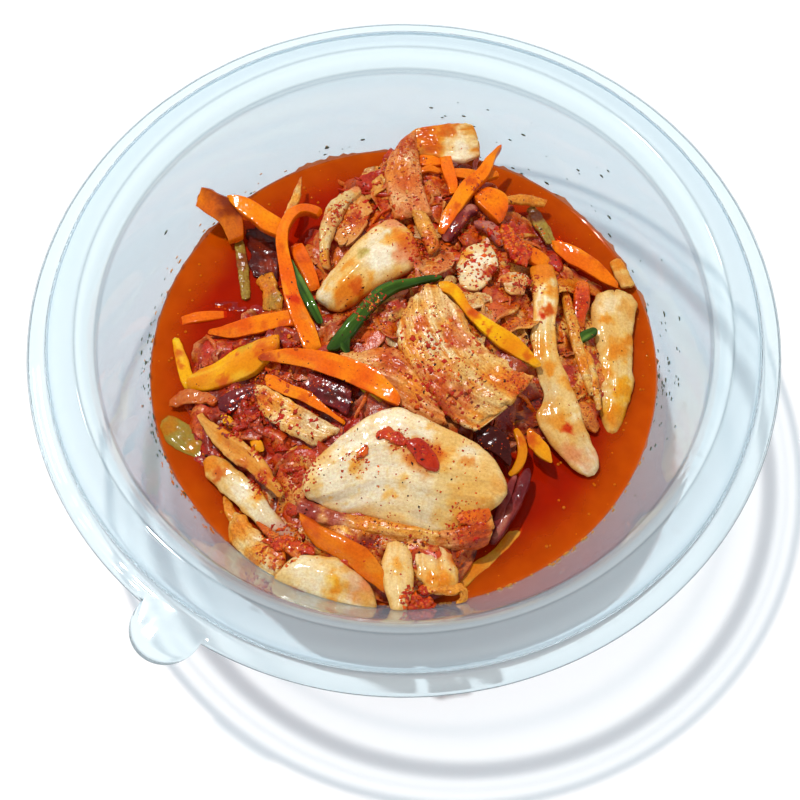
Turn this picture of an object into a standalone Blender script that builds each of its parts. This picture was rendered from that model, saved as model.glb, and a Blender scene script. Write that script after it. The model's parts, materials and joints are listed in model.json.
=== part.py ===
"""Kimchi in its round clear deli tub.

A thin thermoformed tub with a stepped flange and a pull tab holds red brine, a heap of small cut
vegetables that rises out of the brine, and the larger cuts that lie on the heap: cabbage stems and
leaves, carrot and yellow pepper strips, scallion and onion.  Each of those is a separate solid.

Frame: +Z up, origin on the table under the middle of the tub, the camera side is -Y.
Lengths are written in millimetres and scaled to metres when a mesh is made.
"""
import math

import bmesh
import bpy
from mathutils import Vector, noise

# ---------------------------------------------------------------- driving dimensions (mm)
MM = 0.001
GAP = 0.3                       # clearance between pieces that touch

SHEET = 0.5                     # tub wall thickness
LIP_RADIUS = 75.0               # outer edge of the flange
LIP_Z = 42.0
STEP_RADIUS = 70.6              # small step between the flange and the bead
STEP_Z = 44.8
CREST_RADIUS = 64.8             # top of the bead, the highest line of the tub
CREST_Z = 47.3
MOUTH_RADIUS = 61.4             # inner edge where the bead meets the wall
MOUTH_Z = 44.0
BRINE_LEVEL = 25.3
BRINE_RADIUS = 52.7             # inner wall radius at the brine's level
WALL_FLARE = 0.46               # radius gained for each millimetre of height
FOOT_OUTER = 40.2               # flat ring that the tub stands on
FOOT_INNER = 36.8
FLOOR_RISE = 1.1                # the floor inside the foot ring is raised by this much
TURN_STEPS = 48

TAB_RADIUS = 7.0                # pull tab, a round lobe that grows out of the flange
TAB_CENTRE = 75.7
TAB_ANGLE = math.radians(235)
TAB_THICKNESS = 0.42
TAB_ROOT = 73.9                 # the lobe starts inside the flange, at this radius

HEAP_FLOOR_RADIUS = 29.0
HEAP_DOME = 8.6                 # how far the middle of the heap stands above its rim
HEAP_RIM_RISE = 0.9             # how far the heap's rim stands above the brine
HEAP_STEPS = 40
BRINE_CORE = 12.0               # the brine's section starts here, well inside the heap

# radius of the heap where it meets the brine, one value every 20 degrees from +X
HEAP_OUTLINE = (46, 42, 42, 45, 51, 47, 41, 41, 41, 45, 47, 44, 44, 49, 49, 34, 31, 42)

# low mounds on the heap: x, y, added height, spread
MOUNDS = (
    (6, 45, 5.0, 9),
    (-12, -46, 5.0, 9),
    (6, -47, 4.0, 8),
    (-2, 22, 2.0, 12),
    (14, 0, 2.0, 12),
    (0, -28, 1.5, 12),
    (-36, 28, 2.0, 7),
)

# ---------------------------------------------------------------- cuts of vegetable
# name: (kind, width, thickness, roll in degrees, path)
# each path point is x, y, z and the share of the full width there
CUTS = {
    "cabbage_stem_front": ("stem", 21, 4.6, -20, (
        (-19, -33, 32.4, 0.30), (-10, -29, 34.6, 0.85), (2, -28.5, 35.8, 1.0),
        (12, -30.5, 35.6, 0.85), (19.5, -34, 34.0, 0.40))),
    "cabbage_stem_long": ("stem", 7.6, 3.0, 0, (
        (27.6, 18, 33.4, 0.55), (29.2, 8.4, 33.6, 0.68), (30.6, -1, 33.2, 0.75),
        (34.4, -13, 30.4, 0.95), (38.8, -24, 26.8, 0.72))),
    "cabbage_stem_right": ("stem", 7.6, 3.6, 0, (
        (44.2, 13.5, 27.2, 0.85), (45.0, 0, 27.2, 1.0), (43.6, -14, 26.2, 0.72))),
    "cabbage_leaf_middle": ("leaf", 15, 2.2, -14, (
        (4.6, 8.4, 38.0, 0.60), (10, 0, 37.6, 0.85), (15.5, -7.5, 36.6, 1.0),
        (21, -14.5, 34.8, 0.90))),
    "cabbage_leaf_folded": ("leaf", 11, 2.2, -16, (
        (-6.6, -1.6, 35.6, 0.60), (0.6, -6, 36.8, 1.0), (8.2, -13.5, 36.2, 0.80))),
    "cabbage_stem_back": ("stem", 12.5, 3.8, -12, (
        (-16, 14.2, 32.6, 0.45), (-8.6, 18.6, 34.0, 0.95), (-2.6, 24.5, 34.6, 1.0),
        (0.4, 30, 34.2, 0.60))),
    "cabbage_piece_top": ("stem", 8.6, 2.6, -24, (
        (3.0, 50.2, 35.0, 0.75), (9.4, 50.6, 35.2, 1.0), (16.2, 49.2, 34.2, 0.85))),
    "cabbage_leaf_back": ("leaf", 8.0, 2.2, -10, (
        (0.6, 50.0, 33.6, 0.70), (-4.2, 43, 33.4, 1.0), (-4.6, 34.5, 34.4, 0.85))),
    "cabbage_stem_left": ("stem", 5.0, 2.8, 0, (
        (-41, -21.5, 26.6, 0.75), (-31.5, -31.5, 28.6, 1.0), (-23.2, -40, 28.6, 0.55))),
    "cabbage_strip_left": ("stem", 4.0, 2.4, 0, (
        (-40.6, -13.4, 28.0, 0.55), (-32.6, -21.6, 31.0, 1.0), (-25.6, -28.6, 31.2, 0.75))),
    "cabbage_strip_beige": ("leaf", 6.2, 2.0, -10, (
        (-28.6, -11.4, 31.6, 0.80), (-21.4, -16.2, 32.2, 1.0), (-15.4, -20.2, 32.0, 0.75))),
    "cabbage_stem_corner": ("stem", 9.6, 3.6, -8, (
        (-23.4, -44.6, 29.6, 0.70), (-15.8, -47.4, 31.0, 1.0), (-7.6, -49.8, 31.0, 0.80))),
    "cabbage_strip_front": ("stem", 3.2, 2.2, 0, (
        (-1.4, -44.0, 31.2, 0.85), (-1.0, -50, 31.8, 1.0), (-0.2, -54.6, 32.6, 0.60))),
    "cabbage_piece_front": ("stem", 7.2, 2.8, 0, (
        (5.6, -44.0, 30.4, 0.90), (6.4, -48.6, 30.6, 1.0), (7.6, -52.4, 30.8, 0.70))),
    "onion_arc": ("onion", 3.0, 1.8, 0, (
        (-10.4, 39.6, 31.8, 0.60), (-15.8, 35.2, 32.4, 1.0), (-17.4, 28, 33.0, 1.0),
        (-17.0, 21.4, 32.4, 0.70))),
    "onion_purple": ("onion", 3.6, 2.0, 0, (
        (16.4, 33.0, 31.6, 0.60), (12.6, 28.6, 33.0, 1.0), (10.4, 23.6, 33.2, 0.70))),
    "carrot_stub": ("carrot", 3.8, 3.0, 0, (
        (-42.6, 35.0, 34.4, 1.0), (-38.6, 31.6, 31.8, 0.95), (-34.6, 27.0, 29.0, 0.80))),
    "carrot_upper_left": ("carrot", 3.6, 2.2, 0, (
        (-36.4, 35.4, 33.6, 0.75), (-32.0, 32.4, 32.6, 1.0), (-28.4, 28.8, 31.4, 0.60))),
    "carrot_loop": ("carrot", 3.0, 2.2, 0, (
        (-17.4, 33.6, 30.6, 0.70), (-21.6, 34.2, 32.6, 0.9), (-25.2, 31.0, 34.6, 1.0),
        (-25.4, 22, 35.0, 1.0), (-23.8, 11, 34.2, 1.0), (-19.6, 2.4, 33.0, 0.95))),
    "carrot_behind": ("carrot", 3.0, 2.0, 0, (
        (-22.0, 27, 30.8, 0.80), (-20.2, 21.6, 31.8, 1.0), (-18.4, 16.4, 31.8, 0.70))),
    "carrot_left_low": ("carrot", 2.8, 1.8, 0, (
        (-47.4, 10.2, 24.9, 0.70), (-42.4, 11.0, 25.3, 1.0), (-37.4, 11.6, 26.0, 0.70))),
    "carrot_left_high": ("carrot", 2.8, 2.0, 0, (
        (-41.4, 6.8, 27.4, 0.70), (-33.4, 7.8, 30.6, 1.0), (-25.6, 7.8, 31.6, 0.80))),
    "carrot_long": ("carrot", 3.4, 2.0, 0, (
        (-28.2, -2.0, 33.8, 0.60), (-17.8, -4.4, 36.2, 1.0), (-9.4, -8.6, 38.2, 1.0),
        (-2.6, -14.4, 38.6, 0.50))),
    "carrot_thin": ("carrot", 2.2, 1.6, 0, (
        (-28.0, -6.2, 32.8, 0.70), (-19.2, -11.0, 33.8, 1.0), (-11.6, -15.6, 34.0, 0.45))),
    "carrot_back": ("carrot", 3.0, 2.0, 0, (
        (20.6, 46.6, 33.8, 0.40), (16.0, 40.6, 34.6, 1.0), (11.6, 35.6, 34.2, 1.0),
        (8.8, 30.6, 33.6, 0.80))),
    "carrot_wedge": ("carrot", 5.2, 2.2, 0, (
        (17.4, 37.6, 31.0, 0.75), (19.4, 34.2, 31.4, 1.0), (21.6, 30.4, 31.4, 0.60))),
    "carrot_right": ("carrot", 4.6, 2.2, 0, (
        (32.4, 27.6, 28.2, 0.50), (38.6, 22.8, 28.8, 1.0), (44.6, 18.6, 29.2, 0.60))),
    "carrot_corner": ("carrot", 4.6, 2.4, 0, (
        (-21.6, -36.8, 31.6, 0.70), (-13.4, -41.0, 33.2, 1.0), (-4.6, -45.0, 32.4, 0.55))),
    "pepper_yellow_left": ("pepper_yellow", 3.4, 2.2, 0, (
        (-48.0, 5.2, 25.0, 0.75), (-46.6, -1.6, 25.6, 1.0), (-43.6, -4.6, 26.2, 1.0),
        (-36.0, -3.2, 28.2, 1.0), (-29.6, 0.6, 30.6, 0.75))),
    "pepper_yellow_middle": ("pepper_yellow", 3.0, 2.0, 0, (
        (11.2, 12.2, 36.6, 0.80), (15.4, 7.4, 36.6, 1.0), (20.2, 1.6, 36.0, 1.0),
        (25.2, -3.4, 35.2, 0.60))),
    "scallion_long": ("scallion", 2.5, 1.9, 0, (
        (7.2, 14.2, 38.0, 0.60), (-0.6, 12.4, 38.8, 0.95), (-5.8, 9.2, 38.4, 1.0),
        (-9.8, 4.6, 37.6, 1.0), (-13.4, 0.8, 36.6, 0.80))),
    "scallion_short": ("scallion", 2.3, 1.8, 0, (
        (-21.6, 16.4, 34.4, 0.75), (-18.8, 10.4, 34.6, 1.0), (-15.8, 5.2, 34.6, 0.80))),
    "pepper_red_right": ("pepper_red", 4.0, 2.4, 0, (
        (37.6, 16.6, 28.4, 0.85), (37.4, 11.6, 29.0, 1.0), (36.6, 6.8, 28.6, 0.70))),
}

# kind: (base colour, roughness)
FINISHES = {
    "stem": ((0.86, 0.70, 0.44), 0.35),
    "leaf": ((0.72, 0.42, 0.20), 0.40),
    "onion": ((0.46, 0.20, 0.18), 0.30),
    "carrot": ((0.90, 0.30, 0.02), 0.30),
    "pepper_yellow": ((0.88, 0.50, 0.02), 0.30),
    "pepper_red": ((0.62, 0.06, 0.01), 0.30),
    "scallion": ((0.07, 0.20, 0.02), 0.35),
    "heap": ((0.62, 0.18, 0.06), 0.40),
    "brine": ((0.70, 0.12, 0.01), 0.08),
    "tub": ((0.86, 0.94, 0.97), 0.05),
}

SECTION_POINTS = 8              # corners of a cut's cross section
SECTION_POWER = 2.6             # 2 is an ellipse, more is boxier
CROWN = {"stem": 0.10, "leaf": 0.06}    # how far the middle of a section stands above its sides, by width
SPLINE_RESOLUTION = 2
WELD_DISTANCE = 0.02            # closes the slivers that a Boolean leaves


# ---------------------------------------------------------------- scene helpers
def clear_scene():
    for obj in list(bpy.data.objects):
        bpy.data.objects.remove(obj, do_unlink=True)


def new_collection(name):
    collection = bpy.data.collections.new(name)
    bpy.context.scene.collection.children.link(collection)
    return collection


def make_material(name, colour, roughness):
    material = bpy.data.materials.new(name)
    material.use_nodes = True
    shader = material.node_tree.nodes["Principled BSDF"]
    shader.inputs["Base Color"].default_value = (*colour, 1.0)
    shader.inputs["Roughness"].default_value = roughness
    shader.inputs["Metallic"].default_value = 0.0
    return material


def add_mesh(name, mesh, collection, material=None):
    obj = bpy.data.objects.new(name, mesh)
    collection.objects.link(obj)
    if material:
        mesh.materials.append(material)
    return obj


def shade_round(obj, angle_degrees=40):
    obj.data.shade_smooth()
    obj.data.set_sharp_from_angle(angle=math.radians(angle_degrees))


def mark_cutter(obj):
    obj.hide_render = True
    obj.display_type = "WIRE"


def evaluated_copy(obj):
    """The object's shape with its modifiers applied, as a new mesh."""
    depsgraph = bpy.context.evaluated_depsgraph_get()
    return bpy.data.meshes.new_from_object(obj.evaluated_get(depsgraph))


def turned(name, profile, collection, material=None, closed=False):
    """Turn a (radius, height) profile in millimetres about +Z."""
    mesh = bpy.data.meshes.new(name)
    points = [(radius * MM, 0, height * MM) for radius, height in profile]
    edges = [(i, i + 1) for i in range(len(points) - 1)]
    if closed:
        edges.append((len(points) - 1, 0))
    mesh.from_pydata(points, edges, [])
    obj = add_mesh(name, mesh, collection, material)
    screw = obj.modifiers.new("turn", "SCREW")
    screw.axis = "Z"
    screw.angle = math.tau
    screw.steps = TURN_STEPS
    screw.render_steps = TURN_STEPS
    screw.use_merge_vertices = True
    screw.merge_threshold = 0.00001
    return obj


# ---------------------------------------------------------------- tub
def inner_wall_radius(height):
    return BRINE_RADIUS + (height - BRINE_LEVEL) * WALL_FLARE


def tub_profile():
    """Midline of the tub's sheet, from the flange's edge to the middle of the floor."""
    half = SHEET / 2
    slant = half * math.hypot(1, WALL_FLARE)      # half the sheet, measured along the radius
    floor = half + FLOOR_RISE
    return [
        (LIP_RADIUS, LIP_Z),
        (72.2, LIP_Z + 0.1),
        (STEP_RADIUS + 0.7, LIP_Z + 0.6),
        (STEP_RADIUS + 0.2, STEP_Z - 0.6),
        (STEP_RADIUS - 0.6, STEP_Z + 0.3),
        (67.4, 46.4),
        (CREST_RADIUS + 0.8, CREST_Z - half - 0.1),
        (CREST_RADIUS - 0.2, CREST_Z - half),
        (CREST_RADIUS - 1.2, CREST_Z - half - 0.5),
        (MOUTH_RADIUS + 0.5, MOUTH_Z + 0.4),
        (inner_wall_radius(MOUTH_Z - 1.2) + slant, MOUTH_Z - 1.2),
        (inner_wall_radius(BRINE_LEVEL) + slant, BRINE_LEVEL),
        (inner_wall_radius(4.0) + slant, 4.0),
        (inner_wall_radius(1.6) + slant - 0.4, 1.6),
        (FOOT_OUTER, half),
        (FOOT_INNER, half),
        (FOOT_INNER - 1.2, floor),
        (0, floor),
    ]


def tab_mesh():
    """A lobe of the flange's sheet: an arc outside the flange, closed along the root radius."""
    centre = Vector((TAB_CENTRE * math.cos(TAB_ANGLE), TAB_CENTRE * math.sin(TAB_ANGLE)))
    outline = []
    reach = math.asin(min(1, TAB_RADIUS / TAB_ROOT))
    steps = 20
    for step in range(steps + 1):
        turn = TAB_ANGLE + math.radians(-96 + 192 * step / steps)
        outline.append(centre + TAB_RADIUS * Vector((math.cos(turn), math.sin(turn))))
    for step in range(5):
        turn = TAB_ANGLE + reach * (0.98 - 1.96 * step / 4)
        outline.append(TAB_ROOT * Vector((math.cos(turn), math.sin(turn))))
    bm = bmesh.new()
    low = (LIP_Z - TAB_THICKNESS / 2) * MM
    face = bm.faces.new([bm.verts.new((p.x * MM, p.y * MM, low)) for p in outline])
    bmesh.ops.recalc_face_normals(bm, faces=[face])
    rise = bmesh.ops.extrude_face_region(bm, geom=[face])
    top = [item for item in rise["geom"] if isinstance(item, bmesh.types.BMVert)]
    bmesh.ops.translate(bm, verts=top, vec=(0, 0, TAB_THICKNESS * MM))
    bmesh.ops.recalc_face_normals(bm, faces=bm.faces[:])
    mesh = bpy.data.meshes.new("tab_outline")
    bm.to_mesh(mesh)
    bm.free()
    return mesh


def build_tub(parts, cutters, material):
    tub = turned("bowl", tub_profile(), parts, material)
    solid = tub.modifiers.new("sheet", "SOLIDIFY")
    solid.thickness = SHEET * MM
    solid.offset = 0
    solid.use_even_offset = True
    tab = add_mesh("tab_outline", tab_mesh(), cutters)
    mark_cutter(tab)
    join = tub.modifiers.new("tab", "BOOLEAN")
    join.operation = "UNION"
    join.object = tab
    return tub


# ---------------------------------------------------------------- cuts of vegetable
def section_curve(name, width, thickness, crown, collection):
    """A flat closed outline, rounder than a box and crowned, used as the bevel of a cut."""
    data = bpy.data.curves.new(name, "CURVE")
    data.dimensions = "2D"
    spline = data.splines.new("POLY")
    spline.points.add(SECTION_POINTS - 1)
    spline.use_cyclic_u = True
    for index, point in enumerate(spline.points):
        turn = math.tau * (index + 0.5) / SECTION_POINTS
        across = math.copysign(abs(math.cos(turn)) ** (2 / SECTION_POWER), math.cos(turn))
        up = math.copysign(abs(math.sin(turn)) ** (2 / SECTION_POWER), math.sin(turn))
        lift = crown * (0.5 - across * across)
        point.co = (across * width / 2 * MM, (up * thickness / 2 + lift) * MM, 0, 1)
    obj = bpy.data.objects.new(name, data)
    collection.objects.link(obj)
    mark_cutter(obj)
    return obj


def stretch_ends(points, extra):
    """Move a path's two end points outward by a length."""
    places = [Vector(point[:3]) for point in points]
    first = places[0] + (places[0] - places[1]).normalized() * extra
    last = places[-1] + (places[-1] - places[-2]).normalized() * extra
    return [first, *places[1:-1], last]


def cut_mesh(name, cut, extra, collection):
    """A cut of vegetable swept along its path, grown on every side by a clearance."""
    kind, width, thickness, roll, points = cut
    crown = CROWN.get(kind, 0) * width
    section = section_curve(
        name + "_section", width + 2 * extra, thickness + 2 * extra, crown, collection)
    data = bpy.data.curves.new(name + "_path", "CURVE")
    data.dimensions = "3D"
    data.twist_mode = "Z_UP"
    data.bevel_mode = "OBJECT"
    data.bevel_object = section
    data.use_fill_caps = True
    data.resolution_u = SPLINE_RESOLUTION
    data.render_resolution_u = SPLINE_RESOLUTION
    spline = data.splines.new("BEZIER")
    spline.bezier_points.add(len(points) - 1)
    for knot, place, point in zip(spline.bezier_points, stretch_ends(points, extra), points):
        knot.co = place * MM
        knot.handle_left_type = "AUTO"
        knot.handle_right_type = "AUTO"
        knot.radius = point[3]
        knot.tilt = math.radians(roll)
    sweep = bpy.data.objects.new(name + "_path", data)
    collection.objects.link(sweep)
    mesh = evaluated_copy(sweep)
    mesh.name = name
    bpy.data.objects.remove(sweep)
    bpy.data.objects.remove(section)
    bm = bmesh.new()
    bm.from_mesh(mesh)
    bmesh.ops.remove_doubles(bm, verts=bm.verts[:], dist=0.00001)
    bmesh.ops.recalc_face_normals(bm, faces=bm.faces[:])
    bm.to_mesh(mesh)
    bm.free()
    mesh.materials.clear()
    return mesh


def build_cuts(parts, clearances, materials):
    """Every cut as a part, and its grown copy as a cutter for the heap and the brine."""
    for name, cut in CUTS.items():
        solid = add_mesh(name, cut_mesh(name, cut, 0, parts), parts, materials[cut[0]])
        shade_round(solid)
        grown = add_mesh("clear_" + name, cut_mesh(name, cut, GAP, clearances), clearances)
        mark_cutter(grown)


def lowest_cuts():
    """Names of the cuts that reach down into the brine."""
    names = []
    for name, (_, _, thickness, _, points) in CUTS.items():
        if min(point[2] - thickness / 2 * point[3] for point in points) - GAP < BRINE_LEVEL:
            names.append(name)
    return names


# ---------------------------------------------------------------- heap
def heap_radius(angle):
    """Radius of the heap at the brine's level, a smooth closed curve through HEAP_OUTLINE."""
    count = len(HEAP_OUTLINE)
    place = (angle % math.tau) / math.tau * count
    index = int(place)
    share = place - index
    a, b, c, d = (HEAP_OUTLINE[(index + k) % count] for k in (-1, 0, 1, 2))
    tangent_b = (c - a) / 2
    tangent_c = (d - b) / 2
    square = share * share
    cube = square * share
    return (b * (2 * cube - 3 * square + 1) + tangent_b * (cube - 2 * square + share)
            + c * (3 * square - 2 * cube) + tangent_c * (cube - square))


def heap_height(x, y, share):
    """Height of the heap's top at a place, where share is its distance out as a part of 1."""
    height = BRINE_LEVEL + HEAP_RIM_RISE + HEAP_DOME * (1 - share * share) ** 0.7
    for mound_x, mound_y, rise, spread in MOUNDS:
        away = math.hypot(x - mound_x, y - mound_y) / spread
        height += rise * math.exp(-away * away)
    lump = noise.noise(Vector((x, y, 0)) / 9.0)
    return height + 1.6 * lump * (1 - share ** 4)


def heap_mesh(extra, floor):
    """The heap as rings of points: the flat bottom, the buried side and the uneven top."""
    side = ((HEAP_FLOOR_RADIUS, floor), (None, BRINE_LEVEL - 3.0))
    shares = (0.94, 0.84, 0.72, 0.58, 0.44, 0.30, 0.15)
    bm = bmesh.new()
    rings = []
    for radius, height in side:
        ring = []
        for step in range(HEAP_STEPS):
            turn = math.tau * step / HEAP_STEPS
            reach = (heap_radius(turn) if radius is None else radius) + extra
            ring.append(bm.verts.new((reach * math.cos(turn), reach * math.sin(turn), height)))
        rings.append(ring)
    for share in (1.0, *shares):
        ring = []
        for step in range(HEAP_STEPS):
            turn = math.tau * step / HEAP_STEPS
            reach = heap_radius(turn) * share + extra * share
            x, y = reach * math.cos(turn), reach * math.sin(turn)
            ring.append(bm.verts.new((x, y, heap_height(x, y, share) + extra)))
        rings.append(ring)
    for lower, upper in zip(rings, rings[1:]):
        for step in range(HEAP_STEPS):
            after = (step + 1) % HEAP_STEPS
            bm.faces.new((lower[step], lower[after], upper[after], upper[step]))
    bottom = bm.verts.new((0, 0, floor))
    top = bm.verts.new((0, 0, heap_height(0, 0, 0) + extra))
    for step in range(HEAP_STEPS):
        after = (step + 1) % HEAP_STEPS
        bm.faces.new((rings[0][after], rings[0][step], bottom))
        bm.faces.new((rings[-1][step], rings[-1][after], top))
    bmesh.ops.scale(bm, verts=bm.verts[:], vec=(MM, MM, MM))
    bmesh.ops.triangulate(bm, faces=bm.faces[:])
    bmesh.ops.recalc_face_normals(bm, faces=bm.faces[:])
    mesh = bpy.data.meshes.new("heap")
    bm.to_mesh(mesh)
    bm.free()
    return mesh


def cut_by_collection(obj, collection):
    cut = obj.modifiers.new("pockets", "BOOLEAN")
    cut.operation = "DIFFERENCE"
    cut.operand_type = "COLLECTION"
    cut.collection = collection
    cut.solver = "EXACT"
    cut.use_self = True


def build_heap(parts, cutters, clearances, material):
    floor = SHEET + FLOOR_RISE + GAP
    heap = add_mesh("heap", heap_mesh(0, floor), parts, material)
    cut_by_collection(heap, clearances)
    cutter = add_mesh("clear_heap", heap_mesh(GAP, -1.0), cutters)
    mark_cutter(cutter)
    return heap, cutter


# ---------------------------------------------------------------- brine
def brine_profile():
    """The liquid's section, a closed loop: its surface, the wall, the floor.  The heap fills the middle."""
    floor = SHEET + FLOOR_RISE + GAP
    return [
        (BRINE_CORE, BRINE_LEVEL),
        (inner_wall_radius(BRINE_LEVEL) - 1.1 * GAP, BRINE_LEVEL),
        (inner_wall_radius(4.6) - 1.1 * GAP, 4.6),
        (inner_wall_radius(2.4) - 1.4, 2.4),
        (FOOT_OUTER - 0.6, SHEET + GAP),
        (FOOT_INNER + 0.4, SHEET + GAP),
        (FOOT_INNER - 1.6, floor),
        (BRINE_CORE, floor),
    ]


def build_brine(parts, heap_cutter, clearances, material):
    brine = turned("brine", brine_profile(), parts, material, closed=True)
    wading = [clearances.objects["clear_" + name] for name in lowest_cuts()]
    for cutter in (heap_cutter, *wading):
        cut = brine.modifiers.new(cutter.name, "BOOLEAN")
        cut.operation = "DIFFERENCE"
        cut.object = cutter
        weld = brine.modifiers.new("weld", "WELD")
        weld.merge_threshold = WELD_DISTANCE * MM
    return brine


# ---------------------------------------------------------------- assembly
def build():
    clear_scene()
    parts = new_collection("kimchi_tub")
    cutters = new_collection("cutters")
    clearances = new_collection("clearances")
    materials = {name: make_material(name, *finish) for name, finish in FINISHES.items()}
    tub = build_tub(parts, cutters, materials["tub"])
    build_cuts(parts, clearances, materials)
    heap, heap_cutter = build_heap(parts, cutters, clearances, materials["heap"])
    brine = build_brine(parts, heap_cutter, clearances, materials["brine"])
    for obj in (tub, heap, brine):
        shade_round(obj)


build()
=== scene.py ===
"""Looks of the kimchi in its round clear deli tub.

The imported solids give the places; every visible piece is modelled here round them: the thermoformed
tub, the brine, the large cuts of vegetable, and the shreds, paste and chilli flakes of the heap.

Lengths are written in millimetres and scaled to metres when a mesh is made.  +Z is up and the
camera side is -Y.
"""

import json
import math

import bpy
import numpy as np
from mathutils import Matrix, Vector
from mathutils.bvhtree import BVHTree


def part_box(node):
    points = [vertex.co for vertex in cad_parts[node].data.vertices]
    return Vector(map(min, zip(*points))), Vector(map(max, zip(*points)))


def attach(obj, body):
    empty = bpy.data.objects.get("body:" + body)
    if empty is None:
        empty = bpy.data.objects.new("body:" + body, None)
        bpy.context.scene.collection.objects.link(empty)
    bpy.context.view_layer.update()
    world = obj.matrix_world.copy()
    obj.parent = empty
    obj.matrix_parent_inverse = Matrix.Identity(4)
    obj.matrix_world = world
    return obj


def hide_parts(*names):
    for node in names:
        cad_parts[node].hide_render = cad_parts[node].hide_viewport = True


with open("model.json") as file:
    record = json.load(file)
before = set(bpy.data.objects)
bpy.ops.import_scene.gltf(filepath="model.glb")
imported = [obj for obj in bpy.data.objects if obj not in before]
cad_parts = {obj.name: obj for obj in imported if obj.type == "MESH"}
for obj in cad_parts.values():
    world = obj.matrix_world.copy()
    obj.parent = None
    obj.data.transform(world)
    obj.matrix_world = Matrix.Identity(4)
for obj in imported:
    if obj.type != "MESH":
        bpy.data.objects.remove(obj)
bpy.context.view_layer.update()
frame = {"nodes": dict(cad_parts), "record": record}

MM = 0.001
rng = np.random.default_rng(11)

# ---------------------------------------------------------------- sizes, from the frame (mm)
TUB_LOW, TUB_HIGH = (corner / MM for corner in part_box("bowl"))
LIP_RADIUS = TUB_HIGH.x
CREST_Z = TUB_HIGH.z
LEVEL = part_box("brine")[1].z / MM       # the brine's surface
BRINE_RADIUS = 52.7                     # inner wall radius at that level
WALL_FLARE = 0.46                       # radius gained for each millimetre of height
SHEET = 0.5
LIP_Z = 42.0
MOUTH_RADIUS = 61.4
MOUTH_Z = 44.0
FOOT_OUTER = 40.2
FOOT_INNER = 36.8
FLOOR_RISE = 1.1
TAB_ANGLE = math.radians(235)
TAB_CENTRE = 75.7
TAB_RADIUS = 7.0

# radius of the heap where it meets the brine, one value every 20 degrees from +X
HEAP_OUTLINE = (46, 42, 42, 45, 50, 47, 36, 30, 33, 44, 47, 45, 49, 50, 49, 34, 30, 41)
MOUNDS = (
    (6, 45, 5.0, 9), (-12, -46, 5.0, 9), (6, -47, 4.0, 8), (-2, 22, 2.0, 12),
    (14, 0, 2.0, 12), (0, -28, 1.5, 12), (18, -22, -3.0, 5),
)

# ---------------------------------------------------------------- colours
LIGHT_LEVEL = 1.22      # how much brighter than its own colour a lit surface looks


def linear(red, green, blue):
    """A colour as seen, in sRGB steps of 0 to 255, as the linear colour of the surface."""
    seen = np.array((red, green, blue)) / 255
    light = np.where(seen <= 0.04045, seen / 12.92, ((seen + 0.055) / 1.055) ** 2.4)
    return light / LIGHT_LEVEL


COLOUR = {name: linear(*seen) for name, seen in {
    "cream": (248, 220, 166), "ivory": (254, 240, 210), "soaked": (238, 184, 98),
    "stain": (234, 126, 22), "rust": (208, 76, 12), "paste": (200, 36, 6), "blood": (166, 14, 6),
    "tan": (228, 152, 62), "pink": (226, 124, 72), "beige": (234, 184, 96),
    "carrot": (255, 132, 0), "carrot_deep": (240, 94, 0), "carrot_light": (255, 158, 18),
    "amber": (216, 110, 6), "yellow": (252, 180, 12), "yellow_deep": (240, 142, 10),
    "yellow_pale": (254, 214, 80), "green": (84, 124, 36), "green_dark": (36, 64, 16),
    "green_pale": (140, 162, 80), "olive": (160, 134, 50), "pearl": (226, 206, 168),
    "purple": (100, 24, 32), "plum": (152, 56, 48), "lilac": (208, 152, 126),
    "red": (182, 38, 6), "brick": (184, 60, 18), "brown": (124, 40, 10), "dark": (60, 14, 6),
    "grey_green": (92, 98, 76),
}.items()}


def mix(first, second, share):
    """Blend two colours, or fields of colour, by a share or a field of shares."""
    share = np.clip(np.asarray(share, float), 0, 1)[..., None]
    return first * (1 - share) + second * share


def dye(shade, colour, share):
    """Soak one colour into another, as a dye does: stronger and purer than an even blend."""
    share = np.asarray(share, float)[..., None]
    return np.exp(np.log(np.maximum(shade, 0.002)) * (1 - share) + np.log(np.maximum(colour, 0.002)) * share)


# ---------------------------------------------------------------- noise
def scramble(cells, seed):
    """A repeatable number from -1 to 1 for each cell of whole numbers."""
    keys = np.array((374761393, 668265263, 1274126177), np.uint32)
    with np.errstate(over="ignore"):
        mixed = (cells.astype(np.int64).astype(np.uint32) * keys).sum(-1, dtype=np.uint32)
        mixed = mixed + np.uint32(seed * 7919 % 4294967291)
        mixed = (mixed ^ (mixed >> np.uint32(15))) * np.uint32(2246822519)
        mixed = (mixed ^ (mixed >> np.uint32(13))) * np.uint32(3266489917)
        mixed = mixed ^ (mixed >> np.uint32(16))
    return mixed / 2147483647.5 - 1


def noise(points, size, seed=0):
    """Smooth noise from -1 to 1 with features of the given size."""
    places = np.asarray(points, float) / size
    cells = np.floor(places)
    rest = places - cells
    rest = rest * rest * (3 - 2 * rest)
    total = 0
    for corner in np.ndindex(2, 2, 2):
        step = np.array(corner)
        weight = np.prod(np.where(step, rest, 1 - rest), axis=-1)
        total = total + weight * scramble(cells + step, seed)
    return total


def rough_noise(points, size, seed=0, octaves=3):
    """Noise of several sizes, each half as large and half as strong as the one before."""
    total = 0
    for octave in range(octaves):
        total = total + noise(points, size / 2 ** octave, seed + octave) / 2 ** octave
    return total / (2 - 0.5 ** (octaves - 1))


def smoothstep(value, low, high):
    share = np.clip((value - low) / (high - low), 0, 1)
    return share * share * (3 - 2 * share)


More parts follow.
